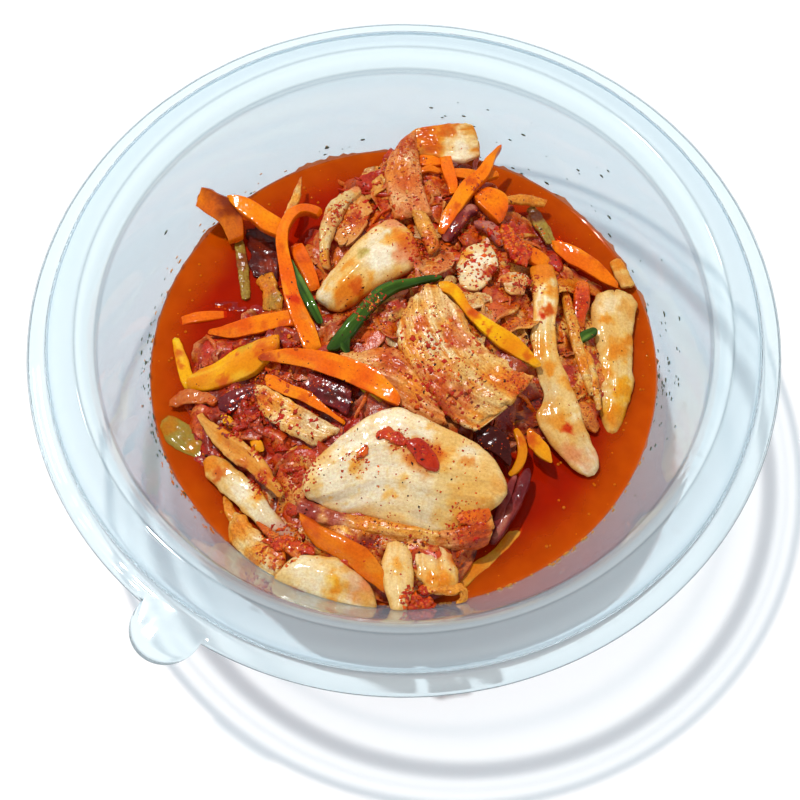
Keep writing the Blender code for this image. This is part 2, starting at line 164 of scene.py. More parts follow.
# ---------------------------------------------------------------- meshes
class Soup:
    """Points, faces and colours of one piece, gathered before its mesh is made."""

    def __init__(self):
        self.points, self.faces, self.colours, self.sheets, self.count = [], [], [], [], 0

    def add(self, points, face_groups, colours, sheet=None):
        self.points.append(points.reshape(-1, 3))
        self.sheets.append((points if sheet is None else sheet).reshape(-1, 3))
        self.faces += [group + self.count for group in face_groups]
        self.colours.append(np.broadcast_to(colours, points.shape).reshape(-1, 3))
        self.count += points.size // 3


def make_piece(name, soup, material, replaced=()):
    """Turn gathered faces into a smooth piece of the object."""
    points = np.vstack(soup.points) * MM
    colours = np.vstack(soup.colours)
    corners = np.concatenate([group.ravel() for group in soup.faces])
    sizes = np.concatenate([np.full(len(group), group.shape[1]) for group in soup.faces])
    mesh = bpy.data.meshes.new(name)
    mesh.vertices.add(len(points))
    mesh.vertices.foreach_set("co", points.ravel())
    mesh.loops.add(len(corners))
    mesh.loops.foreach_set("vertex_index", corners.astype(np.int32))
    mesh.polygons.add(len(sizes))
    mesh.polygons.foreach_set("loop_start", np.concatenate(([0], np.cumsum(sizes)[:-1])).astype(np.int32))
    mesh.polygons.foreach_set("use_smooth", np.ones(len(sizes), bool))
    mesh.update(calc_edges=True)
    mesh.validate()
    for key, values in (("tint", colours), ("grain", np.vstack(soup.sheets))):
        layer = mesh.color_attributes.new(key, "FLOAT_COLOR", "POINT")
        layer.data.foreach_set("color", np.column_stack((values, np.ones(len(values)))).ravel())
    mesh.materials.append(material)
    piece = bpy.data.objects.new(name, mesh)
    bpy.context.scene.collection.objects.link(piece)
    if replaced:
        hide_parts(*replaced)
    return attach(piece, "root")


def loop_faces(rows, columns):
    """Quads between closed rings, each ring a row of points."""
    here = np.arange(rows - 1)[:, None] * columns + np.arange(columns)
    onward = np.arange(rows - 1)[:, None] * columns + (np.arange(columns) + 1) % columns
    return np.stack((here, onward, onward + columns, here + columns), -1).reshape(-1, 4)


def fan_faces(pole, first, columns, flip):
    """Triangles from a pole to a closed ring."""
    ring = first + np.arange(columns)
    onward = first + (np.arange(columns) + 1) % columns
    pair = (ring, onward) if flip else (onward, ring)
    return np.stack((np.full(columns, pole), *pair), -1)


def smooth_path(points, count):
    """Points evenly spaced along a smooth curve through the given ones, and its length."""
    given = np.asarray(points, float)
    given = np.vstack((2 * given[0] - given[1], given, 2 * given[-1] - given[-2]))
    share = np.linspace(0, 1, 16, endpoint=False)[:, None]
    runs = []
    for a, b, c, d in zip(given, given[1:], given[2:], given[3:]):
        runs.append(0.5 * (2 * b + (c - a) * share + (2 * a - 5 * b + 4 * c - d) * share ** 2
                           + (3 * b - a - 3 * c + d) * share ** 3))
    fine = np.vstack((*runs, given[-2:-1]))
    steps = np.linalg.norm(np.diff(fine[:, :3], axis=0), axis=1)
    travelled = np.concatenate(([0], np.cumsum(steps)))
    wanted = np.linspace(0, travelled[-1], count) if np.isscalar(count) else count * travelled[-1]
    found = [np.interp(wanted, travelled, fine[:, column]) for column in range(fine.shape[1])]
    return np.stack(found, 1), travelled[-1]


def unit(vectors):
    return vectors / np.maximum(np.linalg.norm(vectors, axis=-1, keepdims=True), 1e-9)


def section(width, thickness, power, spacing):
    """Round the outline of a flat section: places across and up, each from -1 to 1."""
    rim = min(0.48, thickness / width)
    flat = np.linspace(rim - 1, 1 - rim, max(3, round(width * (1 - rim) / spacing)))
    turn = np.linspace(math.pi / 2, -math.pi / 2, 7)[1:-1]
    arc_across = 1 - rim + rim * np.cos(turn) ** (2 / power)
    arc_up = np.copysign(np.abs(np.sin(turn)) ** (2 / power), np.sin(turn))
    across = np.concatenate((flat, arc_across, flat[::-1], -arc_across[::-1]))
    up = np.concatenate((np.ones(len(flat)), arc_up, -np.ones(len(flat)), arc_up[::-1]))
    return across, up
def soft_section(width, thickness, spacing):
    """Outline of a flat section with round sides: places across and up, each from -1 to 1."""
    rim = min(0.32, 0.6 * thickness / width)
    flat = np.linspace(rim - 1, 1 - rim, max(3, round(width * (1 - rim) / spacing)))
    turn = np.linspace(math.pi / 2, -math.pi / 2, 7)[1:-1]
    arc_across = 1 - rim + rim * np.cos(turn)
    across = np.concatenate((flat, arc_across, flat[::-1], -arc_across[::-1]))
    up = np.concatenate((np.ones(len(flat)), np.sin(turn), -np.ones(len(flat)), np.sin(turn)[::-1]))
    return across, up


def square_section(width, thickness, bevel, spacing):
    """Outline of a knife-cut section: flat faces that meet at tight corners."""
    small_across = min(0.45, 2 * bevel / width)
    small_up = min(0.45, 2 * bevel / thickness)
    top = np.linspace(small_across - 1, 1 - small_across, max(3, round(width / spacing)))
    side = np.linspace(1 - small_up, small_up - 1, max(3, round(thickness / spacing)))
    turn = np.radians((60, 30))
    corner_across = 1 - small_across + small_across * np.cos(turn)
    corner_up = 1 - small_up + small_up * np.sin(turn)
    across = np.concatenate((top, corner_across, np.ones(len(side)), corner_across[::-1],
                             top[::-1], -corner_across, -np.ones(len(side)), -corner_across[::-1]))
    up = np.concatenate((np.ones(len(top)), corner_up, side, -corner_up[::-1],
                         -np.ones(len(top)), -corner_up, side[::-1], corner_up[::-1]))
    return across, up


class Slab:
    """A strip, slab or sheet of vegetable lofted between two edges that run side by side.

    grid is rows of points round the section, along is the distance from its first end in
    millimetres, across and up say where on the section a point is, and out is its way outward.
    """

    def __init__(self, edge_a, edge_b, thickness, bevel=0.0, camber=0.0, end=0.5, taper=0.3,
                 spacing=0.4, ragged=0.0, seed=0):
        edge_a = smooth_path(edge_a, 25)[0]
        edge_b = smooth_path(edge_b, 25)[0]
        length = smooth_path((edge_a + edge_b) / 2, 8)[1]
        width = np.linalg.norm(edge_a - edge_b, axis=1).max()
        first = end * (1 - np.cos(np.linspace(0.15, math.pi / 2, 5)[:-1]))
        count = max(4, round((length - 2 * end) / spacing))
        along = np.concatenate((first, np.linspace(end, length - end, count), length - first[::-1]))
        a = smooth_path(edge_a, along / length)[0]
        b = smooth_path(edge_b, along / length)[0]
        narrow = self.closing(along, end) * self.closing(length - along, end)
        thin = self.closing(along, thickness * 0.5) * self.closing(length - along, thickness * 0.5)
        centre = (a + b) / 2
        half = (b - a) / 2
        tangent = unit(np.gradient(centre, axis=0))
        normal = np.cross(half, tangent)
        self.flip = normal[:, 2].mean() < 0
        normal = unit(np.where(normal[:, 2:] < 0, -normal, normal))
        if bevel:
            across, up = square_section(width, thickness, bevel, spacing)
        else:
            across, up = soft_section(width, thickness, spacing)
        lift = camber * (1 - across ** 2) - thickness * 0.4
        rise = up * (thickness / 2) * (1 - taper * across ** 2)
        reach = np.linalg.norm(half, axis=1)[:, None]
        self.grid = (centre[:, None] + half[:, None] * (across * narrow[:, None])[..., None]
                     + normal[:, None] * (rise * thin[:, None] + lift * narrow[:, None])[..., None])
        self.along = np.broadcast_to(along[:, None], self.grid.shape[:2])
        self.across = np.broadcast_to(across, self.grid.shape[:2])
        self.up = np.broadcast_to(up, self.grid.shape[:2])
        self.side = unit(half)[:, None]
        self.normal = np.broadcast_to(normal[:, None], self.grid.shape)
        self.length, self.width, self.reach = length, width, reach
        self.out = unit(self.normal * self.up[..., None]
                        + self.side * (np.sign(self.across) * np.abs(self.across) ** 6)[..., None])
        if ragged:
            tear = rough_noise(np.stack((self.across * reach, self.along * 0, self.up * 0), -1), 1.6, seed)
            fade = np.exp((self.along - length) / (2.5 * ragged)) - np.exp(-self.along / (2.5 * ragged))
            self.grid = self.grid + tangent[:, None] * (ragged * tear * fade)[..., None]
            nick = rough_noise(np.stack((self.along, np.sign(self.across) * 9, self.up * 0), -1), 2.2, seed + 1)
            nick = nick * np.sign(self.across) * np.abs(self.across) ** 4
            self.grid = self.grid + self.side * (0.5 * ragged * nick)[..., None]

    @staticmethod
    def closing(distance, radius):
        """1 away from an end, falling to 0 at it as a quarter circle does."""
        return np.sqrt(np.clip(1 - (1 - np.clip(distance / radius, 0, 1)) ** 2, 0.0004, 1))

    def bend(self, amount):
        """Move the whole thickness up by a field of millimetres."""
        self.grid = self.grid + self.normal * amount[..., None]

    def swell(self, amount):
        """Move the surface outward by a field of millimetres."""
        self.grid = self.grid + self.out * amount[..., None]

    def sheet(self):
        """Places on the slab's own sheet, for patterns that follow its length."""
        return np.stack((self.along, self.across * self.reach, self.up * 0.5), -1)

    def into(self, soup, colours):
        rows, columns = self.grid.shape[:2]
        poles = np.stack((self.grid[0].mean(0), self.grid[-1].mean(0)))
        points = np.vstack((self.grid.reshape(-1, 3), poles))
        shades = np.vstack((colours.reshape(-1, 3), colours[0].mean(0), colours[-1].mean(0)))
        last = rows * columns
        quads = loop_faces(rows, columns)
        fans = [fan_faces(last, 0, columns, not self.flip), fan_faces(last + 1, last - columns, columns, self.flip)]
        offset = np.array((17.0, 5.0, 0)) * len(soup.points)
        sheet = self.sheet()
        sheet = np.vstack((sheet.reshape(-1, 3), sheet[0].mean(0), sheet[-1].mean(0))) + offset
        soup.add(points, [quads if self.flip else quads[:, ::-1], *fans], shades, sheet)


def strip_edges(path, width, roll=0.0):
    """The two edges of a strip that follows a path of x, y, z and share of the full width."""
    points, _ = smooth_path(path, max(6, 3 * len(path)))
    centre = points[:, :3]
    tangent = unit(np.gradient(centre, axis=0))
    side = unit(np.cross(tangent, (0, 0, 1.0)))
    up = np.cross(side, tangent)
    angle = math.radians(roll)
    reach = (side * math.cos(angle) + up * math.sin(angle)) * (points[:, 3:] * width / 2)
    return centre - reach, centre + reach



# ---------------------------------------------------------------- materials
def new_material(name):
    material = bpy.data.materials.new(name)
    material.use_nodes = True
    tree = material.node_tree
    return material, tree, tree.nodes["Principled BSDF"]


def add_node(tree, kind, **values):
    node = tree.nodes.new(kind)
    for key, value in values.items():
        if key in node.inputs:
            node.inputs[key].default_value = value
        else:
            setattr(node, key, value)
    return node


def ramp_node(tree, source, stops):
    """A colour ramp fed by a value; stops are (place, colour)."""
    ramp = tree.nodes.new("ShaderNodeValToRGB")
    elements = ramp.color_ramp.elements
    while len(elements) < len(stops):
        elements.new(0.5)
    for element, (place, colour) in zip(elements, stops):
        element.position = place
        element.color = (*colour, 1) if len(colour) == 3 else colour
    tree.links.new(source, ramp.inputs[0])
    return ramp.outputs[0]


def noise_node(tree, where, size_mm, detail=3.0, roughness=0.55):
    node = add_node(tree, "ShaderNodeTexNoise", Scale=1 / (size_mm * MM), Detail=detail, Roughness=roughness)
    tree.links.new(where, node.inputs["Vector"])
    return node.outputs[0]


def mix_node(tree, blend, share, first, second):
    node = tree.nodes.new("ShaderNodeMix")
    node.data_type = "RGBA"
    node.blend_type = blend
    for value, socket in ((share, node.inputs[0]), (first, node.inputs[6]), (second, node.inputs[7])):
        if isinstance(value, bpy.types.NodeSocket):
            tree.links.new(value, socket)
        else:
            socket.default_value = value
    return node.outputs[2]


def food_material(name, gloss=(0.18, 0.42), mottle=0.25, specks=0.3, grain_mm=0.5, bump_mm=0.12,
                  subsurface=0.12, coat=0.2, fibre=0.0, paste=0.0, glint=0.0):
    """Wet vegetable: the mesh's own tint, fibred, mottled, smeared and speckled with chilli, under a wet coat."""
    material, tree, shader = new_material(name)
    where = tree.nodes.new("ShaderNodeTexCoord").outputs["Object"]
    tint = add_node(tree, "ShaderNodeAttribute", attribute_name="tint").outputs["Color"]
    blotch = ramp_node(tree, noise_node(tree, where, 2.2), ((0.3, (0.85, 0.5, 0.22)), (0.62, (1.1, 1.1, 1.06))))
    colour = mix_node(tree, "MULTIPLY", mottle, tint, blotch)
    # fibres run along each cut: the grain attribute holds millimetres along and across it
    grain = add_node(tree, "ShaderNodeAttribute", attribute_name="grain").outputs["Vector"]
    along = add_node(tree, "ShaderNodeMapping")
    along.inputs["Scale"].default_value = (0.16, 1.0, 0.3)
    tree.links.new(grain, along.inputs["Vector"])
    fibres = add_node(tree, "ShaderNodeTexNoise", Scale=2.6, Detail=4.0, Roughness=0.65)
    tree.links.new(along.outputs[0], fibres.inputs["Vector"])
    streak = ramp_node(tree, fibres.outputs[0], ((0.34, (0.75, 0.5, 0.25)), (0.5, (1, 1, 1)), (0.66, (1.2, 1.3, 1.4))))
    colour = mix_node(tree, "MULTIPLY", fibre, colour, streak)
    fleck = ramp_node(tree, noise_node(tree, where, 0.5, 4.0, 0.7), (
        (0.36, (0.62, 0.40, 0.28)), (0.5, (1, 1, 1)), (0.64, (1.25, 1.5, 1.7))))
    colour = mix_node(tree, "MULTIPLY", 0.1 + 0.6 * glint, colour, fleck)
    if paste:
        edge = 0.70 - 0.4 * paste
        smear = ramp_node(tree, noise_node(tree, where, 1.5, 6.0, 0.72), (
            (edge, (0, 0, 0)), (edge + 0.07, (0.85, 0.85, 0.85))))
        kinds = ramp_node(tree, noise_node(tree, where, 0.8, 2.0), (
            (0.36, COLOUR["blood"]), (0.46, COLOUR["red"]), (0.56, COLOUR["rust"]), (0.68, COLOUR["stain"])))
        colour = mix_node(tree, "MIX", smear, colour, kinds)
    cells = add_node(tree, "ShaderNodeTexVoronoi", Scale=1 / (1.3 * MM))
    tree.links.new(where, cells.inputs["Vector"])
    near = ramp_node(tree, cells.outputs["Distance"], ((0.09, (1, 1, 1)), (0.16, (0, 0, 0))))
    chosen = add_node(tree, "ShaderNodeMath", operation="GREATER_THAN")
    chosen.inputs[1].default_value = 1 - specks * 0.5
    split = tree.nodes.new("ShaderNodeSeparateColor")
    tree.links.new(cells.outputs["Color"], split.inputs[0])
    tree.links.new(split.outputs[0], chosen.inputs[0])
    picked = add_node(tree, "ShaderNodeMath", operation="MULTIPLY")
    tree.links.new(near, picked.inputs[0])
    tree.links.new(chosen.outputs[0], picked.inputs[1])
    speck = ramp_node(tree, split.outputs[1], ((0.25, COLOUR["dark"]), (0.5, COLOUR["red"]), (0.8, COLOUR["rust"])))
    colour = mix_node(tree, "MIX", picked.outputs[0], colour, speck)
    tree.links.new(colour, shader.inputs["Base Color"])
    wet = add_node(tree, "ShaderNodeMapRange")
    wet.inputs["From Min"].default_value = 0.35
    wet.inputs["From Max"].default_value = 0.65
    wet.inputs["To Min"].default_value = gloss[0]
    wet.inputs["To Max"].default_value = gloss[1]
    tree.links.new(noise_node(tree, where, 1.6, 2.0), wet.inputs["Value"])
    tree.links.new(wet.outputs[0], shader.inputs["Roughness"])
    fine = add_node(tree, "ShaderNodeBump", Strength=0.8, Distance=bump_mm * MM)
    tree.links.new(noise_node(tree, where, grain_mm, 4.0, 0.6), fine.inputs["Height"])
    bump = add_node(tree, "ShaderNodeBump", Strength=0.9, Distance=0.25 * fibre * MM)
    tree.links.new(fibres.outputs[0], bump.inputs["Height"])
    tree.links.new(fine.outputs[0], bump.inputs["Normal"])
    tree.links.new(bump.outputs[0], shader.inputs["Normal"])
    drops = add_node(tree, "ShaderNodeBump", Strength=0.9, Distance=(0.10 + 0.09 * glint) * MM)
    tree.links.new(noise_node(tree, where, 1.7 - 0.9 * glint, 1.0 + glint), drops.inputs["Height"])
    tree.links.new(drops.outputs[0], shader.inputs["Coat Normal"])
    shader.inputs["Specular IOR Level"].default_value = 0.02
    shader.inputs["Coat Weight"].default_value = coat
    shader.inputs["Coat Roughness"].default_value = 0.04 + 0.24 * glint
    shader.inputs["Subsurface Weight"].default_value = subsurface
    shader.inputs["Subsurface Radius"].default_value = (1.0, 0.4, 0.12)
    shader.inputs["Subsurface Scale"].default_value = 1.2 * MM
    shader.inputs["IOR"].default_value = 1.4
    return material


def tub_material():
    """Clear plastic that lets lamps through, darker where it is seen edge on."""
    material, tree, glass = new_material("clear_plastic")
    rim = add_node(tree, "ShaderNodeLayerWeight", Blend=0.5)
    body = ramp_node(tree, rim.outputs["Facing"], (
        (0.0, (0.80, 0.925, 0.96)), (0.6, (0.74, 0.87, 0.92)), (0.9, (0.46, 0.55, 0.62))))
    where = tree.nodes.new("ShaderNodeTexCoord").outputs["Object"]
    split = tree.nodes.new("ShaderNodeSeparateXYZ")
    tree.links.new(where, split.inputs[0])
    flat = add_node(tree, "ShaderNodeCombineXYZ")
    tree.links.new(split.outputs[0], flat.inputs[0])
    tree.links.new(split.outputs[1], flat.inputs[1])
    radius = add_node(tree, "ShaderNodeVectorMath", operation="LENGTH")
    tree.links.new(flat.outputs[0], radius.inputs[0])
    share = add_node(tree, "ShaderNodeMath", operation="DIVIDE")
    share.inputs[1].default_value = 80 * MM
    tree.links.new(radius.outputs["Value"], share.inputs[0])
    # painted shade: the moulded steps at the mouth, the crest of the bead and the flange are painted as thin dark lines
    # and a soft grey band, for the darker surroundings the creases refract; the brim of the flange is painted lighter
    # than clear, and the inner wall a little darker and bluer, also painted shade
    wall, clean, line, soft = (0.92, 0.93, 0.955), (1, 1, 1), (0.46, 0.49, 0.52), (0.86, 0.89, 0.92)
    ledge, painted_light_brim = (0.96, 0.965, 0.975), (1.06, 1.03, 1.02)
    steps = ramp_node(tree, share.outputs[0], (
        (48 / 80, clean), (54 / 80, wall), (61.0 / 80, wall), (61.25 / 80, line), (61.55 / 80, clean),
        (64.5 / 80, clean), (64.8 / 80, line), (65.05 / 80, clean),
        (65.3 / 80, ledge), (69.2 / 80, ledge), (69.9 / 80, soft), (70.45 / 80, soft), (70.7 / 80, line),
        (70.9 / 80, painted_light_brim)))
    body = mix_node(tree, "MULTIPLY", 1.0, body, steps)
    tree.links.new(body, glass.inputs["Base Color"])
    glass.inputs["Transmission Weight"].default_value = 0.87
    glass.inputs["IOR"].default_value = 1.5
    haze = add_node(tree, "ShaderNodeMapRange")
    haze.inputs["From Min"].default_value = 0.4
    haze.inputs["From Max"].default_value = 0.75
    haze.inputs["To Min"].default_value = 0.015
    haze.inputs["To Max"].default_value = 0.09
    tree.links.new(noise_node(tree, where, 9, 3.0), haze.inputs["Value"])
    tree.links.new(haze.outputs[0], glass.inputs["Roughness"])
    bump = add_node(tree, "ShaderNodeBump", Strength=0.35, Distance=0.12 * MM)
    tree.links.new(noise_node(tree, where, 7, 2.0), bump.inputs["Height"])
    tree.links.new(bump.outputs[0], glass.inputs["Normal"])
    edge = add_node(tree, "ShaderNodeLayerWeight", Blend=0.5)
    steep = ramp_node(tree, edge.outputs["Facing"], (
        (0.0, (0.98, 0.99, 0.995)), (0.5, (0.93, 0.955, 0.97)), (0.9, (0.55, 0.62, 0.66))))
    # the bead and the rim of the flange throw the darker rings
    clear, bead, lip = (0.98, 0.99, 0.995), (0.42, 0.48, 0.53), (0.56, 0.64, 0.69)
    rings = ramp_node(tree, share.outputs[0], (
        (58.6 / 80, clear), (60.0 / 80, (0.86, 0.9, 0.92)), (61.4 / 80, clear),
        (63.8 / 80, clear), (65.2 / 80, bead), (67.0 / 80, bead), (68.6 / 80, clear),
        (72.8 / 80, clear), (73.8 / 80, lip), (75.2 / 80, lip), (75.6 / 80, clear)))
    through = tree.nodes.new("ShaderNodeBsdfTransparent")
    tree.links.new(mix_node(tree, "MULTIPLY", 1.0, steep, rings), through.inputs[0])
    path = tree.nodes.new("ShaderNodeLightPath")
    lamp_side = add_node(tree, "ShaderNodeMath", operation="MAXIMUM")
    tree.links.new(path.outputs["Is Shadow Ray"], lamp_side.inputs[0])
    tree.links.new(path.outputs["Is Diffuse Ray"], lamp_side.inputs[1])
    either = tree.nodes.new("ShaderNodeMixShader")
    tree.links.new(lamp_side.outputs[0], either.inputs[0])
    tree.links.new(glass.outputs[0], either.inputs[1])
    tree.links.new(through.outputs[0], either.inputs[2])
    tree.links.new(either.outputs[0], tree.nodes["Material Output"].inputs[0])
    return material


def brine_surface_material():
    """The brine's top: glossy, and a red-orange filter over what lies in it."""
    material, tree, shader = new_material("brine_top")
    where = tree.nodes.new("ShaderNodeTexCoord").outputs["Object"]
    tint = add_node(tree, "ShaderNodeAttribute", attribute_name="tint").outputs["Color"]
    cloud = ramp_node(tree, noise_node(tree, where, 5, 3.0), ((0.35, (0.86, 0.8, 0.75)), (0.7, (1.06, 1.1, 1.1))))
    tree.links.new(mix_node(tree, "MULTIPLY", 0.8, tint, cloud), shader.inputs["Base Color"])
    shader.inputs["Roughness"].default_value = 0.04
    shader.inputs["Specular IOR Level"].default_value = 0.3
    shader.inputs["IOR"].default_value = 1.35
    bump = add_node(tree, "ShaderNodeBump", Strength=0.25, Distance=0.3 * MM)
    tree.links.new(noise_node(tree, where, 6, 1.0), bump.inputs["Height"])
    tree.links.new(bump.outputs[0], shader.inputs["Normal"])
    filter_light = tree.nodes.new("ShaderNodeBsdfTransparent")
    filter_light.inputs[0].default_value = (1.0, 0.42, 0.10, 1)
    layer = tree.nodes.new("ShaderNodeMixShader")
    layer.inputs[0].default_value = 0.45
    tree.links.new(filter_light.outputs[0], layer.inputs[1])
    tree.links.new(shader.outputs[0], layer.inputs[2])
    tree.links.new(layer.outputs[0], tree.nodes["Material Output"].inputs[0])
    return material


# ---------------------------------------------------------------- tub
def inner_wall_radius(height):
    return BRINE_RADIUS + (height - LEVEL) * WALL_FLARE


def tub_midline():
    """Middle of the sheet from the flange's edge, over the step and the bead, down to the floor."""
    half = SHEET / 2
    slant = half * math.hypot(1, WALL_FLARE)
    floor = half + FLOOR_RISE
    return np.array((
        (LIP_RADIUS - 0.25, LIP_Z - 0.35), (LIP_RADIUS - 0.7, LIP_Z + 0.15), (72.4, LIP_Z + 0.1),
        (71.5, LIP_Z + 0.25), (70.9, LIP_Z + 0.9), (70.75, 44.1), (70.3, 44.9), (69.3, 45.35),
        (67.4, 46.25), (66.0, 46.8), (64.8, CREST_Z - half), (63.7, 46.6), (62.7, 45.6),
        (MOUTH_RADIUS + 0.55, MOUTH_Z + 0.5), (inner_wall_radius(MOUTH_Z - 0.6) + slant, MOUTH_Z - 0.6),
        (inner_wall_radius(40) + slant, 40), (inner_wall_radius(LEVEL) + slant, LEVEL),
        (inner_wall_radius(12) + slant, 12), (inner_wall_radius(4.0) + slant, 4.0),
        (inner_wall_radius(1.6) + slant - 0.5, 1.5), (FOOT_OUTER, half), (FOOT_INNER, half),
        (FOOT_INNER - 1.3, floor), (30, floor), (14, floor), (0.0, floor)))


def rounded(points, rounds):
    """Cut the corners of an open line, again and again."""
    for _ in range(rounds):
        early = points[:-1] * 0.75 + points[1:] * 0.25
        late = points[:-1] * 0.25 + points[1:] * 0.75
        points = np.vstack((points[:1], np.stack((early, late), 1).reshape(-1, 2), points[-1:]))
    return points


def tub_turns():
    """Angles round the tub, closer together across the pull tab."""
    widest = 90 + math.degrees(math.asin(TAB_RADIUS / TAB_CENTRE))
    sweep = np.radians(np.linspace(-widest, widest, 36))
    lobe = TAB_ANGLE + np.arctan2(TAB_RADIUS * np.sin(sweep), TAB_CENTRE + TAB_RADIUS * np.cos(sweep))
    return np.concatenate((lobe, np.linspace(lobe[-1], lobe[0] + math.tau, 250)[1:-1]))


def tab_reach(angles):
    """How far the flange's edge stands out at each angle, over the pull tab."""
    turn = (angles - TAB_ANGLE + math.pi) % math.tau - math.pi
    inside = TAB_RADIUS ** 2 - (TAB_CENTRE * np.sin(turn)) ** 2
    edge = TAB_CENTRE * np.cos(turn) + np.sqrt(np.maximum(inside, 0))
    return np.where((inside > 0) & (np.abs(turn) < 1), np.maximum(edge - LIP_RADIUS, 0), 0)


def build_tub():
    line = rounded(tub_midline(), 2)
    tangent = unit(np.gradient(line, axis=0))
    out = np.column_stack((-tangent[:, 1], tangent[:, 0])) * (SHEET / 2)
    profile = np.vstack((line + out, (line - out)[::-1]))
    profile[:, 0] = np.maximum(profile[:, 0], 0.02)
    profile[:, 1] = np.clip(profile[:, 1], 0, CREST_Z)
    angles = tub_turns()
    round_about = np.column_stack((np.cos(angles), np.sin(angles), np.zeros(len(angles))))
    uneven = noise(round_about * 4, 1.0, 3) * 0.10
    radius = np.broadcast_to(profile[:, 0], (len(angles), len(profile))).copy()
    height = np.broadcast_to(profile[:, 1], radius.shape).copy()
    outer = smoothstep(radius, LIP_RADIUS - 2.2, LIP_RADIUS - 0.1)
    radius += outer * tab_reach(angles)[:, None]
    high = smoothstep(height, 20, 40)
    radius += high * uneven[:, None] * (radius < LIP_RADIUS - 1)
    fluted = noise(round_about * 26, 1.0, 9) * 0.07
    height += high * smoothstep(radius, 64, 70) * fluted[:, None]
    height = np.minimum(height, CREST_Z)
    points = np.stack((radius * np.cos(angles)[:, None], radius * np.sin(angles)[:, None], height), -1)
    soup = Soup()
    soup.add(points, [loop_faces(len(angles), len(profile)), closing_faces(len(angles), len(profile))],
             COLOUR["ivory"])
    make_piece("clear_tub", soup, tub_material(), ("bowl",))


def closing_faces(rows, columns):
    """Quads from the last row of a turned shape back to its first."""
    last = (rows - 1) * columns + np.arange(columns)
    last_next = (rows - 1) * columns + (np.arange(columns) + 1) % columns
    return np.stack((last, last_next, (np.arange(columns) + 1) % columns, np.arange(columns)), -1)


# ---------------------------------------------------------------- brine
def polar_sheet(radii, turns):
    """Points of a round sheet: one row for each angle, one column for each radius."""
    angles = np.linspace(0, math.tau, turns, endpoint=False)
    return np.cos(angles)[:, None] * radii, np.sin(angles)[:, None] * radii


# splashes on the wall: angle from +X and its spread in degrees, number, height above the brine, colour
SPLASHES = (
    (185, 12, 60, 4, "grey_green"), (35, 25, 34, 12, "grey_green"), (-6, 9, 44, 8, "grey_green"),
    (90, 25, 20, 14, "grey_green"), (215, 12, 40, 4, "amber"), (300, 20, 50, 2, "tan"), (150, 20, 30, 3, "tan"),
)


def build_brine(soup_material):
    rim = BRINE_RADIUS + 0.12
    # the deep body fills the tub, and dips under the surface away from the wall
    top = [(0.02, LEVEL - 4.2), (30, LEVEL - 4.2), (rim - 8, LEVEL - 3.8), (rim - 5, LEVEL - 3.0),
           (rim - 3, LEVEL - 2.1), (rim - 1.6, LEVEL - 1.2), (rim - 0.6, LEVEL - 0.35), (rim, LEVEL - 0.06)]
    wall = [(inner_wall_radius(z) + 0.12, z) for z in np.linspace(LEVEL - 0.8, 4.0, 24)]
    under = [(FOOT_OUTER + 0.1, 0.42), (FOOT_INNER, 0.42), (FOOT_INNER - 1.2, 1.5), (20, 1.5), (0.02, 1.5)]
    profile = np.array(top + wall + under)
    x, y = polar_sheet(profile[:, 0], 200)
    z = np.broadcast_to(profile[:, 1], x.shape)
    points = np.stack((x, y, z), -1)
    cloud = rough_noise(points * (1, 1, 1.6), 14, 31)
    distance = np.hypot(x, y)
    depth = smoothstep(rim - distance + 2.5 * cloud, 0.5, 13) * (z > LEVEL - 4.5)
    shade = mix(COLOUR["carrot_deep"], COLOUR["red"], depth)
    below = smoothstep(LEVEL - z, 1, 8) * (distance > 38)
    shade = mix(shade, COLOUR["red"] * 0.9, below)
    shade = mix(shade, COLOUR["rust"], 0.6 * smoothstep(cloud, 0.0, 0.6))
    soup = Soup()
    soup.add(points, [loop_faces(200, len(profile)), closing_faces(200, len(profile))], shade)
    make_piece("brine_deep", soup, soup_material, ("brine",))
    # the surface climbs a little where it meets the wall
    turns = 320
    radii = np.concatenate((np.linspace(0.02, rim - 2, 70), rim - np.linspace(1.8, 0, 12)))
    x, y = polar_sheet(radii, turns)
    climb = 0.35 * np.exp(-(rim - radii) / 0.7)
    z = LEVEL - 0.3 + climb + 0.05 * noise(np.stack((x, y, x * 0), -1), 5, 8)
    edge = np.stack((x[:, -1], y[:, -1], x[:, -1] * 0), -1)
    ragged = 0.25 + 0.9 * np.clip(rough_noise(edge, 5, 35) + 0.5 * noise(edge, 1.1, 36), 0, 2)
    film_z = z[:, -1:] + ragged[:, None] * np.linspace(0.25, 1, 4)
    film_reach = (inner_wall_radius(film_z) + 0.1) / rim
    top = np.stack((np.hstack((x, x[:, -1:] * film_reach)), np.hstack((y, y[:, -1:] * film_reach)),
                    np.hstack((z, film_z))), -1)
    bottom = top - (0, 0, 0.12)
    sheet = np.concatenate((top, bottom[:, ::-1]), 1)
    reach = np.hypot(sheet[..., 0], sheet[..., 1])
    murk = 2.5 * rough_noise(sheet, 11, 33)
    shade = mix(COLOUR["amber"] * (1.18, 1.0, 0.8), COLOUR["red"] * (1.3, 1.15, 0.5), smoothstep(rim - reach + murk, 0.8, 10.5))
    shade = mix(shade, COLOUR["stain"], 0.8 * smoothstep(reach, rim - 1.2, rim))
    shade = mix(shade, COLOUR["tan"], smoothstep(reach, rim, rim + 0.25))
    soup = Soup()
    soup.add(sheet, [loop_faces(turns, sheet.shape[1]), closing_faces(turns, sheet.shape[1])], shade)
    make_piece("brine_surface", soup, brine_surface_material())
    make_piece("brine_drops", build_drops(), soup_material)


def dome(size, flat):
    """A low round drop."""
    rings = np.radians((8, 40, 70, 95))
    turns = np.linspace(0, math.tau, 9)[:-1]
    points = np.stack((np.cos(turns)[:, None] * np.sin(rings), np.sin(turns)[:, None] * np.sin(rings),
                       np.broadcast_to(flat * np.cos(rings), (8, 4))), -1) * size
    return points, [loop_faces(8, 4), closing_faces(8, 4)]


